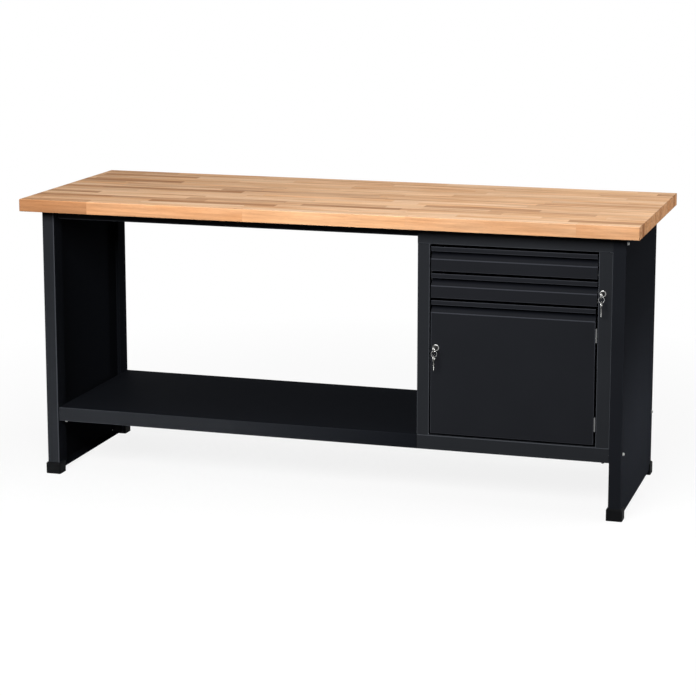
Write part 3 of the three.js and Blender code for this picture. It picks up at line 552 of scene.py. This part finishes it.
FINISHES = {
    "beech": lambda bench: beech(bench.wood),
    "black_paint": lambda bench: body_coat(bench.steel),
    "panel_paint": lambda bench: shaded_panel_coat(bench.steel),
    "front_paint": lambda bench: shaded_front_coat(bench.steel),
    "foot_plastic": lambda bench: moulded_plastic(bench.hardware),
    "zinc_steel": lambda bench: zinc_plate(bench.hardware),
    "chrome": lambda bench: plated("polished_nickel", bench.hardware.nickel, 0.14),
    # Dark plug metal, a painted dark reflection in each lock
    "lock_plug": lambda bench: plated("dark_plug", bench.hardware.plug, 0.35),
    "key_steel": lambda bench: plated("key_steel", bench.hardware.key, 0.3),
    "hinge_steel": lambda bench: plated("hinge_steel", bench.hardware.hinge, 0.34),
    "ring_wire": lambda bench: plated("ring_wire", bench.hardware.ring, 0.3),
}
made_finishes = {}


def finish_of(finish):
    """Material of a finish, made on first use."""
    if finish not in made_finishes:
        made_finishes[finish] = FINISHES[finish](bpy.context.scene.workbench)
    return made_finishes[finish]


def centre_of(node):
    """Middle of a CAD node's box."""
    low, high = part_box(node)
    return (low + high) / 2


def sheet_box(node, thickness):
    """Corners of a CAD node's box, and of the box through the middle of its sheets."""
    low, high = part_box(node)
    inset = Vector((1, 1, 1)) * thickness / 2
    return low, high, low + inset, high - inset


def unique(items):
    """List of the items without repeats, in their order."""
    return list(dict.fromkeys(items))


def parts_of(faces):
    """Faces with their edges and vertices."""
    return unique(item for face in faces for item in (face, *face.edges, *face.verts))


def faces_at(bm, axis, place, margin):
    """Faces that lie flat at a place along an axis."""
    return [face for face in bm.faces if all(abs(vert.co[axis] - place) < margin for vert in face.verts)]


def face_towards(bm, direction):
    """The face of a bmesh that looks most nearly in a direction."""
    bm.normal_update()
    return max(bm.faces, key=lambda face: face.normal.dot(direction))


def free_edges(bm, keep):
    """Free edges of a sheet whose middle passes a test."""
    free = (edge for edge in bm.edges if edge.is_boundary)
    return [edge for edge in free if keep((edge.verts[0].co + edge.verts[1].co) / 2)]


def add_block(bm, low, high):
    """Box between two corners."""
    place = Matrix.Translation((low + high) / 2) @ Matrix.Diagonal((*(high - low), 1))
    bmesh.ops.create_cube(bm, size=1, matrix=place)


def extrude(bm, edges):
    """New points of a strip that starts at edges."""
    made = bmesh.ops.extrude_edge_only(bm, edges=edges)["geom"]
    return [item for item in made if isinstance(item, bmesh.types.BMVert)]


def add_flap(bm, edges, reach):
    """Sweeps edges of a sheet into a new strip."""
    bmesh.ops.translate(bm, verts=extrude(bm, edges), vec=reach)


def add_sweep(bm, profile, axis, start, end):
    """Bare sheet of a profile swept along an axis; a profile point holds the two other coordinates."""
    def point(pair, along):
        values = list(pair)
        values.insert(axis, along)
        return Vector(values)

    corners = [bm.verts.new(point(pair, start)) for pair in profile]
    edges = [bm.edges.new(pair) for pair in zip(corners, corners[1:])]
    add_flap(bm, edges, point((0, 0), end - start))


def bevel(bm, edges, radius, segments, clamp=False):
    """Rounds edges, or chamfers them with one segment; returns the new faces."""
    return bmesh.ops.bevel(
        bm, geom=edges, offset=radius, offset_type="OFFSET", affect="EDGES",
        segments=segments, profile=0.5, material=-1, clamp_overlap=clamp,
    )["faces"]


def make_pan(node, thickness, mouth, ways=(), hem=0.0):
    """Bmesh of sheet round a CAD node's box, open one way, with hems on sides of its mouth."""
    low, high, near, far = sheet_box(node, thickness)
    bm = bmesh.new()
    add_block(bm, near, far)
    bmesh.ops.delete(bm, geom=[face_towards(bm, mouth)], context="FACES_ONLY")
    middle = (low + high) / 2
    for way in ways:
        reach = abs((high - middle).dot(way)) - hem
        rim = free_edges(bm, lambda co: (co - middle).dot(way) > reach)
        add_flap(bm, rim, -way * hem)
    return bm


def round_edges(bm, radius, segments, least_turn):
    """Rounds every edge that turns by more than an angle in degrees; returns the new faces."""
    bm.normal_update()
    limit = math.radians(least_turn)
    inner = (edge for edge in bm.edges if len(edge.link_faces) == 2)
    sharp = [edge for edge in inner if edge.calc_face_angle(0) > limit]
    return bevel(bm, sharp, radius, segments, clamp=True)


def cut_hole(bm, lock, face, radius):
    """Round hole for a lock in a sheet that faces the front."""
    centre = centre_of(lock)
    centre.y = face
    reach = HOLE_SQUARE * radius
    for axis in (RIGHT, UP):
        for way in (-reach, reach):
            flat = parts_of(faces_at(bm, Y, centre.y, SAME_POINT))
            bmesh.ops.bisect_plane(bm, geom=flat, plane_co=centre + axis * way, plane_no=axis)
    square = min(bm.faces, key=lambda face: (face.calc_center_median() - centre).length)
    sides = list(square.edges)
    bmesh.ops.delete(bm, geom=[square], context="FACES_ONLY")
    bmesh.ops.subdivide_edges(bm, edges=sides, cuts=HOLE_STEPS // 4 - 1)
    rim = free_edges(bm, lambda co: (co - centre).length < HOLE_CORNERS * reach)
    for vert in extrude(bm, rim):
        vert.co = centre + (vert.co - centre).normalized() * radius


def clean(bm):
    """Joins points that meet and turns all faces outwards."""
    bmesh.ops.remove_doubles(bm, verts=bm.verts, dist=SAME_POINT)
    bmesh.ops.recalc_face_normals(bm, faces=bm.faces)


def add_piece(bm, name, slot, body, *nodes, finish=None):
    """Object of a finished bmesh that rides on a body and stands for CAD nodes."""
    clean(bm)
    mesh = bpy.data.meshes.new(name)
    bm.to_mesh(mesh)
    bm.free()
    mesh.shade_smooth()
    mesh.materials.append(finish_of(finish or slot))
    piece = bpy.data.objects.new(name, mesh)
    bpy.context.scene.collection.objects.link(piece)
    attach(piece, body)
    if nodes:
        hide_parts(*nodes)
    return piece


def even_normals(piece):
    """Keeps flat faces flat beside their rounded edges."""
    weighted = piece.modifiers.new("Even normals", "WEIGHTED_NORMAL")
    weighted.keep_sharp = True


def add_solid(bm, name, slot, body, *nodes, finish=None):
    """Piece of a closed shape whose edges are already rounded."""
    even_normals(add_piece(bm, name, slot, body, *nodes, finish=finish))


def add_sheet(bm, name, thickness, body, *nodes, slot="black_paint", finish=None, painted_shade_at=None):
    """Piece of a bare sheet: rounds its folds, gives it thickness and breaks its cut edges.

    A test tells which places get painted shade. Folds get a painted highlight in the front half alone,
    where the light falls.
    """
    steel = bpy.context.scene.workbench.steel
    clean(bm)
    fold = bm.verts.layers.float.new(PAINTED_LIGHT_AND_SHADE)
    rounded = set(round_edges(bm, steel.fold_radius, FOLD_STEPS, FOLD_TURN))
    depths = [vert.co.y for vert in bm.verts]
    middle = (min(depths) + max(depths)) / 2
    for vert in bm.verts:
        # Painted shade where the test holds
        if painted_shade_at and painted_shade_at(vert.co):
            vert[fold] = -1.0
        # Painted highlight over the folds of the front half
        elif vert.co.y < middle:
            vert[fold] = float(rounded.issuperset(vert.link_faces))
    piece = add_piece(bm, name, slot, body, *nodes, finish=finish)
    wall = piece.modifiers.new("Sheet", "SOLIDIFY")
    wall.thickness = thickness
    wall.offset = 0
    wall.use_even_offset = True
    broken = piece.modifiers.new("Cut edges", "BEVEL")
    broken.width = steel.edge_round
    broken.segments = EDGE_STEPS
    broken.limit_method = "ANGLE"
    broken.angle_limit = math.radians(RIM_TURN)
    even_normals(piece)


def add_folded(node, name, thickness, axis, profile, longer=0.0, lower=0.0, slot="black_paint"):
    """Sheet on the bench with a profile swept through a CAD node's box and past its ends."""
    low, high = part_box(node)
    bm = bmesh.new()
    add_sweep(bm, profile, axis, low[axis] - longer - lower, high[axis] + longer)
    add_sheet(bm, name, thickness, "bench", node, slot=slot)


def add_front(bm, name, body, node, steel):
    """Sheet of a drawer front or the door, with painted shade in the recess of its grip."""
    middle = centre_of(node).y
    add_sheet(
        bm, name, steel.front_sheet, body, node, finish="front_paint", painted_shade_at=lambda co: co.y > middle
    )


def soften(node, name, slot, radius=None, finish=None):
    """Piece from a copy of a CAD node with its cut edges rounded."""
    solid = frame["nodes"][node]
    bm = bmesh.new()
    bm.from_mesh(solid.data)
    bmesh.ops.remove_doubles(bm, verts=bm.verts, dist=SAME_CAD_POINT)
    bmesh.ops.dissolve_limit(bm, angle_limit=math.radians(FLAT_TURN), verts=bm.verts, edges=bm.edges)
    round_edges(bm, radius or bpy.context.scene.workbench.steel.edge_round, EDGE_STEPS, CUT_TURN)
    add_solid(bm, name, slot, solid["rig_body"], node, finish=finish)


def plate_node(node):
    """Gives zinc plating to a CAD node that keeps its shape."""
    mesh = frame["nodes"][node].data
    mesh.materials.clear()
    mesh.materials.append(finish_of("zinc_steel"))


class WORKBENCH_OT_worktop(bpy.types.Operator):
    """Beech worktop with eased edges"""

    bl_idname = "workbench.worktop"
    bl_label = "Worktop"

    def execute(self, context):
        bm = bmesh.new()
        add_block(bm, *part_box("worktop"))
        round_edges(bm, context.scene.workbench.wood.edge_round, FOLD_STEPS, CUT_TURN)
        add_solid(bm, "worktop_board", "beech", "bench", "worktop")
        return {"FINISHED"}


class WORKBENCH_OT_side_panels(bpy.types.Operator):
    """Side panels with flanges, return lips and top and bottom flanges"""

    bl_idname = "workbench.side_panels"
    bl_label = "Side panels"

    def execute(self, context):
        steel = context.scene.workbench.steel
        half = steel.panel_sheet / 2
        for label, side in SIDES:
            node = f"{label}_side_panel"
            low, high, near, far = sheet_box(node, steel.panel_sheet)
            web, edge = (far.x, near.x) if side > 0 else (near.x, far.x)
            plan = [(edge, low.y + steel.panel_lip), (edge, near.y), (web, near.y)]
            plan += [(web, far.y), (edge, far.y), (edge, high.y - steel.panel_lip)]
            bm = bmesh.new()
            add_sweep(bm, plan, Z, low.z, high.z)
            start, end = low.y + steel.flange_start, high.y - steel.flange_start
            for z in (near.z, far.z):
                add_sweep(bm, [(web - side * half, z), (edge - side * half, z)], Y, start, end)
            # Painted shade on the left panel behind its front fold; the right panel takes the darker panel
            # paint as painted shade on that side
            behind = near.y + INSIDE * steel.fold_radius
            add_sheet(
                bm, f"{label}_panel_sheet", steel.panel_sheet, "bench", node,
                finish="panel_paint" if side > 0 else "black_paint",
                painted_shade_at=lambda co: side < 0 and co.y > behind,
            )
        return {"FINISHED"}


def add_foot(node, low, high):
    """Cap foot between two corners."""
    bm = bmesh.new()
    add_block(bm, low, high)
    upright = [edge for edge in bm.edges if abs(edge.verts[0].co.z - edge.verts[1].co.z) > FOOT_STEP]
    bevel(bm, upright, FOOT_CORNER, FOLD_STEPS)
    bevel(bm, list(face_towards(bm, UP).edges), FOOT_CHAMFER, 1)
    for height in (FOOT_STEP, FOOT_STEP + 2 * FOOT_GROOVE):
        whole = [*bm.verts, *bm.edges, *bm.faces]
        bmesh.ops.bisect_plane(bm, geom=whole, plane_co=UP * (low.z + height), plane_no=UP)
    bm.normal_update()
    middle = low.z + FOOT_STEP + FOOT_GROOVE
    band = [face for face in bm.faces if abs(face.calc_center_median().z - middle) < FOOT_GROOVE / 2]
    bmesh.ops.inset_region(
        bm, faces=band, thickness=FOOT_GROOVE / 3, depth=-FOOT_GROOVE, use_even_offset=True
    )
    round_edges(bm, FOOT_EDGE, EDGE_STEPS, CREASE_TURN)
    add_solid(bm, f"{node}_cap", "foot_plastic", "bench", node)


class WORKBENCH_OT_feet(bpy.types.Operator):
    """Cap feet with a chamfered top and a line above the sole"""

    bl_idname = "workbench.feet"
    bl_label = "Feet"

    def execute(self, context):
        swell = Vector((1, 1, 0)) * FOOT_SWELL
        for end, _ in ENDS:
            for side, _ in SIDES:
                node = f"{end}_{side}_foot"
                low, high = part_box(node)
                add_foot(node, low - swell, high + swell)
        return {"FINISHED"}


class WORKBENCH_OT_rails(bpy.types.Operator):
    """Channel rails under the worktop, closed by a bolting plate at each end"""

    bl_idname = "workbench.rails"
    bl_label = "Rails"

    def execute(self, context):
        sheet = context.scene.workbench.steel.panel_sheet
        for label, end in ENDS:
            channel = make_pan(f"{label}_rail", sheet, FORWARD * end)
            add_sheet(channel, f"{label}_rail_channel", sheet, "bench", f"{label}_rail")
        return {"FINISHED"}


class WORKBENCH_OT_bottom_shelf(bpy.types.Operator):
    """Shelf pan with welded corners and returns under its fascias"""

    bl_idname = "workbench.bottom_shelf"
    bl_label = "Bottom shelf"

    def execute(self, context):
        steel = context.scene.workbench.steel
        ways = (FORWARD, BACKWARD)
        pan = make_pan("bottom_shelf", steel.shelf_sheet, DOWN, ways, steel.shelf_return)
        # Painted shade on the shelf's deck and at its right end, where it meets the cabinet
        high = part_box("bottom_shelf")[1]
        deck = high.z - steel.shelf_sheet
        joint = high.x - 2 * steel.fold_radius
        add_sheet(
            pan, "bottom_shelf_pan", steel.shelf_sheet, "bench", "bottom_shelf",
            painted_shade_at=lambda co: co.z > deck or co.x > joint,
        )
        return {"FINISHED"}


def add_wall(label, side, steel):
    """Wall whose web runs past its stile at the top and bottom, with reliefs at the folds."""
    node = f"cabinet_{label}_wall"
    low, high, near, far = sheet_box(node, steel.cabinet_sheet)
    half = steel.cabinet_sheet / 2
    front, rear = near.y, far.y
    wall, edge = (far.x, near.x) if side > 0 else (near.x, far.x)
    plan = [(edge, low.y + steel.stile_return), (edge, front), (wall, front), (wall, rear)]
    plan.append((wall - side * steel.rear_return, rear))
    stile_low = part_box("cabinet_floor")[1].z + steel.sheet_gap
    stile_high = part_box("cabinet_top_rail")[0].z - steel.sheet_gap
    bm = bmesh.new()
    add_sweep(bm, plan, Z, stile_low, stile_high)
    relief = 2 * steel.fold_radius
    web = faces_at(bm, X, wall, half)
    for y in (front + relief, rear - relief):
        cut = bmesh.ops.bisect_plane(bm, geom=parts_of(web), plane_co=BACKWARD * y, plane_no=BACKWARD)
        web = [item for item in cut["geom"] if isinstance(item, bmesh.types.BMFace)]
    ends = free_edges(bm, lambda co: abs(co.x - wall) < half and front + relief < co.y < rear - relief)
    middle = (stile_low + stile_high) / 2
    for end in ends:
        z = end.verts[0].co.z
        add_flap(bm, [end], UP * ((high.z if z > middle else low.z) - z))
    inset = relief - steel.sheet_gap
    for start, stop in ((front, front + inset), (rear - inset, rear)):
        strip = [(wall, start), (wall, stop)]
        add_sweep(bm, strip, Z, low.z, stile_low - steel.sheet_gap)
        add_sweep(bm, strip, Z, stile_high + steel.sheet_gap, high.z)
    if side > 0:
        cut_hole(bm, "drawer_lock_housing", front, steel.lock_hole)
    add_sheet(bm, f"cabinet_{label}_wall_sheet", steel.cabinet_sheet, "bench", node)


def add_runner(label, side, sheet):
    """Channel that carries the slides of one side."""
    node = f"{label}_runner_plate"
    low, high, near, far = sheet_box(node, sheet)
    wall, face = (high.x, near.x) if side > 0 else (low.x, far.x)
    profile = [(wall, near.z), (face, near.z), (face, far.z), (wall, far.z)]
    add_folded(node, f"{label}_runner_channel", sheet, Y, profile, slot="zinc_steel")


def add_plain_sheets(steel):
    """Floor, top rail, back and inner shelf of the cabinet."""
    sheet = steel.cabinet_sheet
    longer = CLOSING * steel.sheet_gap
    low, _, near, far = sheet_box("cabinet_floor", sheet)
    profile = [(low.y + steel.shelf_return, near.z), (near.y, near.z), (near.y, far.z)]
    profile += [(far.y, far.z), (far.y, low.z)]
    add_folded("cabinet_floor", "cabinet_floor_sheet", sheet, X, profile, longer)
    _, high, near, far = sheet_box("cabinet_top_rail", sheet)
    profile = [(high.y, near.z), (near.y, near.z), (near.y, far.z), (high.y, far.z)]
    add_folded("cabinet_top_rail", "cabinet_top_rail_channel", sheet, X, profile, longer)
    low, _, near, far = sheet_box("cabinet_back", sheet)
    plan = [(near.x, low.y), (near.x, far.y), (far.x, far.y), (far.x, low.y)]
    add_folded("cabinet_back", "cabinet_back_sheet", sheet, Z, plan, lower=BACK_SEAT)
    low, _, near, far = sheet_box("inner_shelf", sheet)
    profile = [(near.y, low.z), (near.y, far.z), (far.y, far.z), (far.y, low.z)]
    add_folded("inner_shelf", "inner_shelf_sheet", sheet, X, profile)


class WORKBENCH_OT_cabinet(bpy.types.Operator):
    """Cabinet walls with their stiles, floor, top rail, back, runner plates and inner shelf"""

    bl_idname = "workbench.cabinet"
    bl_label = "Cabinet"

    def execute(self, context):
        steel = context.scene.workbench.steel
        for label, side in SIDES:
            add_wall(label, side, steel)
            add_runner(label, side, steel.cabinet_sheet)
            soften(f"{label}_shelf_support", f"{label}_shelf_angle", "black_paint")
        add_plain_sheets(steel)
        return {"FINISHED"}


def grip_profile(low, high, steel):
    """Side view of a folded front: hem, ridge, recess, slanted face, flat face and lower return."""
    half = steel.front_sheet / 2
    face, inner = low.y + half, high.y - half
    slant_top = high.z - steel.ridge_height - steel.groove_drop
    ridge_bottom = high.z - steel.ridge_height + half
    return [
        (low.y + steel.ridge_hem, ridge_bottom),
        (face, ridge_bottom),
        (face + steel.ridge_set_back, high.z - half),
        (inner, high.z - half - steel.ridge_fall),
        (inner, slant_top),
        (face, slant_top - steel.slant_height),
        (face, low.z + half),
        (inner, low.z + half),
    ]


class WORKBENCH_OT_drawers(bpy.types.Operator):
    """Drawer fronts with their folded grip, open trays and slides"""

    bl_idname = "workbench.drawers"
    bl_label = "Drawers"

    def execute(self, context):
        steel = context.scene.workbench.steel
        for drawer in DRAWERS:
            low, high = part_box(f"{drawer}_front")
            bm = bmesh.new()
            add_sweep(bm, grip_profile(low, high, steel), X, low.x, high.x)
            add_front(bm, f"{drawer}_front_sheet", drawer, f"{drawer}_front", steel)
            tray = make_pan(f"{drawer}_tray", steel.front_sheet, UP, (LEFT, RIGHT), steel.tray_hem)
            add_sheet(tray, f"{drawer}_tray_box", steel.front_sheet, drawer, f"{drawer}_tray")
            soften(f"{drawer}_catch", f"{drawer}_catch_angle", "zinc_steel")
            for label, _ in SIDES:
                for member in SLIDE_MEMBERS:
                    plate_node(f"{drawer}_{label}_{member}_slide")
        return {"FINISHED"}


class WORKBENCH_OT_door(bpy.types.Operator):
    """Door pan with the same grip as the drawers and returns at its sides"""

    bl_idname = "workbench.door"
    bl_label = "Door"

    def execute(self, context):
        steel = context.scene.workbench.steel
        sheet = steel.front_sheet
        low, high, near, far = sheet_box("door_panel", sheet)
        flat_top = high.z - steel.ridge_height - steel.groove_drop - steel.slant_height
        bm = bmesh.new()
        add_sweep(bm, grip_profile(low, high, steel), X, near.x, far.x)
        sides = free_edges(bm, lambda co: co.y < low.y + sheet and near.z < co.z < flat_top)
        add_flap(bm, sides, BACKWARD * (far.y - near.y))
        cut_hole(bm, "door_lock_housing", near.y, steel.lock_hole)
        add_front(bm, "door_pan", "door", "door_panel", steel)
        return {"FINISHED"}


class WORKBENCH_OT_hinges(bpy.types.Operator):
    """Butt hinges at the right of the door"""

    bl_idname = "workbench.hinges"
    bl_label = "Hinges"

    def execute(self, context):
        for hinge in ("upper_hinge", "lower_hinge"):
            for part, name, radius in (
                ("frame_leaf", "frame_plate", None),
                ("door_leaf", "door_plate", None),
                ("pin", "rivet", PIN_EDGE),
            ):
                soften(f"{hinge}_{part}", f"{hinge}_{name}", "zinc_steel", radius, finish="hinge_steel")
        return {"FINISHED"}


def add_housing(label, body):
    """Turned rim and barrel of a lock, from an outline of radius and depth."""
    node = f"{label}_lock_housing"
    low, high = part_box(node)
    plug_low, plug_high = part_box(f"{label}_lock_plug")
    rim = (high.x - low.x) / 2
    bore = (plug_high.x - plug_low.x) / 2 + PLUG_GAP
    barrel = rim - LOCK_STEP
    depth = high.y - low.y
    outline = [(bore, LOCK_MOUTH), (bore + LOCK_MOUTH, 0)]
    outline += [(rim - inward, back) for inward, back in RIM_CURVE]
    outline += [(rim, LOCK_RIM), (barrel, LOCK_RIM), (barrel, depth), (bore, depth), (bore, LOCK_MOUTH)]
    centre = centre_of(node)
    centre.y = low.y
    bm = bmesh.new()
    corners = [bm.verts.new(centre + Vector((radius, back, 0))) for radius, back in outline]
    edges = [bm.edges.new(pair) for pair in zip(corners, corners[1:])]
    bmesh.ops.spin(
        bm, geom=[*corners, *edges], cent=centre, axis=BACKWARD,
        angle=2 * math.pi, steps=LOCK_STEPS, use_merge=True,
    )
    add_solid(bm, f"{label}_lock_barrel", "chrome", body, node)


def add_ring(label):
    """Split ring: a wire that runs round more than once and drifts by its own thickness."""
    node = f"{label}_key_ring"
    low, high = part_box(node)
    centre = (low + high) / 2
    wire = (high.y - low.y) / 4
    radius = (high.x - low.x) / 2 - wire
    bm = bmesh.new()
    start = Matrix.Translation(centre + Vector((radius, -wire, 0)))
    circle = bmesh.ops.create_circle(bm, segments=WIRE_STEPS, radius=wire, matrix=start)["verts"]
    edges = unique(edge for vert in circle for edge in vert.link_edges)
    bmesh.ops.spin(
        bm, geom=[*circle, *edges], cent=centre, axis=BACKWARD, dvec=BACKWARD * (2 * wire / RING_STEPS),
        angle=2 * math.pi * RING_TURNS, steps=RING_STEPS,
    )
    bmesh.ops.holes_fill(bm, edges=[edge for edge in bm.edges if edge.is_boundary], sides=0)
    add_solid(bm, f"{label}_split_ring", "chrome", f"{label}_ring", node, finish="ring_wire")


class WORKBENCH_OT_locks(bpy.types.Operator):
    """Cam locks with a key in each, a split ring and a spare key, and the drawers' locking bar"""

    bl_idname = "workbench.locks"
    bl_label = "Locks and keys"

    def execute(self, context):
        for label, body in LOCKS:
            add_housing(label, body)
            add_ring(label)
            soften(f"{label}_lock_plug", f"{label}_lock_core", "chrome", finish="lock_plug")
            soften(f"{label}_lock_cam", f"{label}_lock_lever", "zinc_steel")
            for key in (f"{label}_key", f"{label}_spare_key"):
                soften(key, f"{key}_blank", "chrome", KEY_EDGE, finish="key_steel")
        soften("locking_bar", "drawer_locking_bar", "zinc_steel")
        for label in ("lower", "upper"):
            soften(f"{label}_locking_bar_stud", f"{label}_bar_stud", "zinc_steel", STUD_EDGE)
        return {"FINISHED"}


def add_bolts(name, places, direction, finish=None):
    """Piece of bolts whose heads look in one direction, each on a washer."""
    radius = BOLT_WIDTH / math.sqrt(3)
    rise = WASHER_HEIGHT + BOLT_HEIGHT / 2
    turned = UP.rotation_difference(direction).to_matrix().to_4x4()
    bm = bmesh.new()
    for place in places:
        for segments, size, depth, middle, edge in (
            (WASHER_STEPS, WASHER_RADIUS, WASHER_HEIGHT, WASHER_HEIGHT / 2, WASHER_EDGE),
            (BOLT_SIDES, radius, BOLT_HEIGHT, rise, BOLT_EDGE),
        ):
            at = Matrix.Translation(place) @ turned @ Matrix.Translation((0, 0, middle))
            made = bmesh.ops.create_cone(
                bm, cap_ends=True, segments=segments, radius1=size, radius2=size, depth=depth, matrix=at
            )["verts"]
            faces = unique(face for vert in made for face in vert.link_faces)
            caps = [face for face in faces if len(face.verts) == segments]
            bevel(bm, unique(item for face in caps for item in face.edges), edge, EDGE_STEPS)
    add_solid(bm, name, "zinc_steel", "bench", finish=finish)


class WORKBENCH_OT_bolts(bpy.types.Operator):
    """Hexagon bolts and washers through the panels, the shelf and the cabinet floor"""

    bl_idname = "workbench.bolts"
    bl_label = "Bolts"

    def execute(self, context):
        shelf_low, shelf_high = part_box("bottom_shelf")
        floor_low, floor_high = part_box("cabinet_floor")
        heights = (shelf_low.z + BOLT_RISE, centre_of("front_rail").z - BOLT_DROP)
        for label, side in SIDES:
            low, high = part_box(f"{label}_side_panel")
            face = high.x if side > 0 else low.x
            places = [(face, y, z) for y in (low.y + BOLT_INSET, high.y - BOLT_INSET) for z in heights]
            add_bolts(f"{label}_panel_bolts", places, RIGHT * side)
        # The floor bolts take the dark plug metal, painted shade where they sit under the cabinet
        for name, x, corner, finish in (
            ("shelf_bolts", shelf_low.x + UNDER_SIDE, shelf_low, "zinc_steel"),
            ("floor_bolts", floor_high.x - UNDER_SIDE, floor_low, "lock_plug"),
        ):
            ends = (corner.y + UNDER_INSET, shelf_high.y - UNDER_INSET)
            add_bolts(name, [(x, y, corner.z) for y in ends], DOWN, finish)
        return {"FINISHED"}


def add_studio_floor(stage):
    """Pale floor that turns white away from the bench."""
    bm = bmesh.new()
    bmesh.ops.create_grid(bm, x_segments=1, y_segments=1, size=FLOOR_REACH)
    mesh = bpy.data.meshes.new("studio_floor")
    bm.to_mesh(mesh)
    bm.free()
    nodes = new_finish("studio_floor")
    eye = seen_rays(nodes)
    tone = nodes.tint(eye, stage.floor_bounce, stage.floor_tone)
    paper = nodes.add("BsdfDiffuse", {"Color": tone})
    white = nodes.add("Emission", {"Color": WHITE, "Strength": 1.0})
    far = nodes.add("VectorMath", {0: nodes.place()}, operation="LENGTH").outputs["Value"]
    share = nodes.remap(far, FLOOR_WHITE, 1.0, FLOOR_START, FLOOR_END)
    seen = nodes.math("MULTIPLY", share, eye)
    both = nodes.add("MixShader", {0: seen, 1: paper.outputs[0], 2: white.outputs[0]})
    nodes.add("OutputMaterial", {"Surface": both.outputs[0]})
    mesh.materials.append(nodes.owner)
    floor = bpy.data.objects.new("studio_floor", mesh)
    bpy.context.scene.collection.objects.link(floor)


def seen_rays(nodes):
    """1 for rays from the camera and for those that metal or glass send on."""
    rays = nodes.add("LightPath").outputs
    mirrored = nodes.math("MAXIMUM", rays["Is Glossy Ray"], rays["Is Transmission Ray"])
    return nodes.math("MAXIMUM", rays["Is Camera Ray"], mirrored)


def add_world(scene, stage):
    """White surroundings that give only a little light."""
    scene.world = bpy.data.worlds.new("studio_white")
    nodes = Nodes(scene.world)
    strength = nodes.remap(seen_rays(nodes), stage.world_strength, 1.0)
    sky = nodes.add("Background", {"Color": WHITE, "Strength": strength})
    nodes.add("OutputWorld", {"Surface": sky.outputs[0]})


def add_light(name, watts, place, target, size, spread=math.pi):
    """Soft box that looks from a place at a target."""
    lamp = bpy.data.lights.new(name, "AREA")
    lamp.shape = "RECTANGLE"
    lamp.size, lamp.size_y = size
    lamp.energy = watts
    lamp.spread = spread
    light = bpy.data.objects.new(name, lamp)
    light.location = place
    light.rotation_euler = (Vector(target) - Vector(place)).to_track_quat("-Z", "Y").to_euler()
    bpy.context.scene.collection.objects.link(light)


def add_camera(scene, stage):
    """Camera fitted to the photo."""
    lens = bpy.data.cameras.new("photo_camera")
    lens.lens = stage.camera_lens
    lens.shift_y = stage.camera_shift
    camera = bpy.data.objects.new("photo_camera", lens)
    camera.location = stage.camera_place
    camera.rotation_euler = (math.pi / 2 - stage.camera_pitch, 0, stage.camera_yaw)
    scene.collection.objects.link(camera)
    scene.camera = camera


class WORKBENCH_OT_stage(bpy.types.Operator):
    """Pale floor, soft lights, white surroundings and the camera"""

    bl_idname = "workbench.stage"
    bl_label = "Stage"

    def execute(self, context):
        stage = context.scene.workbench.stage
        context.scene.view_settings.view_transform = "Standard"
        add_studio_floor(stage)
        add_world(context.scene, stage)
        for lamp in LAMPS:
            add_light(*lamp)
        add_camera(context.scene, stage)
        return {"FINISHED"}


OPERATORS = (
    WORKBENCH_OT_worktop,
    WORKBENCH_OT_side_panels,
    WORKBENCH_OT_feet,
    WORKBENCH_OT_rails,
    WORKBENCH_OT_bottom_shelf,
    WORKBENCH_OT_cabinet,
    WORKBENCH_OT_drawers,
    WORKBENCH_OT_door,
    WORKBENCH_OT_hinges,
    WORKBENCH_OT_locks,
    WORKBENCH_OT_bolts,
    WORKBENCH_OT_stage,
)


class WORKBENCH_PT_panel(bpy.types.Panel):
    """Sidebar panel that lists the workbench's pieces"""

    bl_idname = "WORKBENCH_PT_panel"
    bl_label = "Workbench"
    bl_space_type = "VIEW_3D"
    bl_region_type = "UI"
    bl_category = "Workbench"

    def draw(self, context):
        for operator in OPERATORS:
            self.layout.operator(operator.bl_idname)


SETTINGS = (WoodSettings, SteelSettings, HardwareSettings, StageSettings, BenchSettings)
CLASSES = (*SETTINGS, *OPERATORS, WORKBENCH_PT_panel)


def register():
    for cls in CLASSES:
        bpy.utils.register_class(cls)
    bpy.types.Scene.workbench = bpy.props.PointerProperty(type=BenchSettings)


def unregister():
    del bpy.types.Scene.workbench
    for cls in reversed(CLASSES):
        bpy.utils.unregister_class(cls)


def main():
    register()
    for operator in OPERATORS:
        group, name = operator.bl_idname.split(".")
        getattr(getattr(bpy.ops, group), name)()


if __name__ == "__main__":
    main()
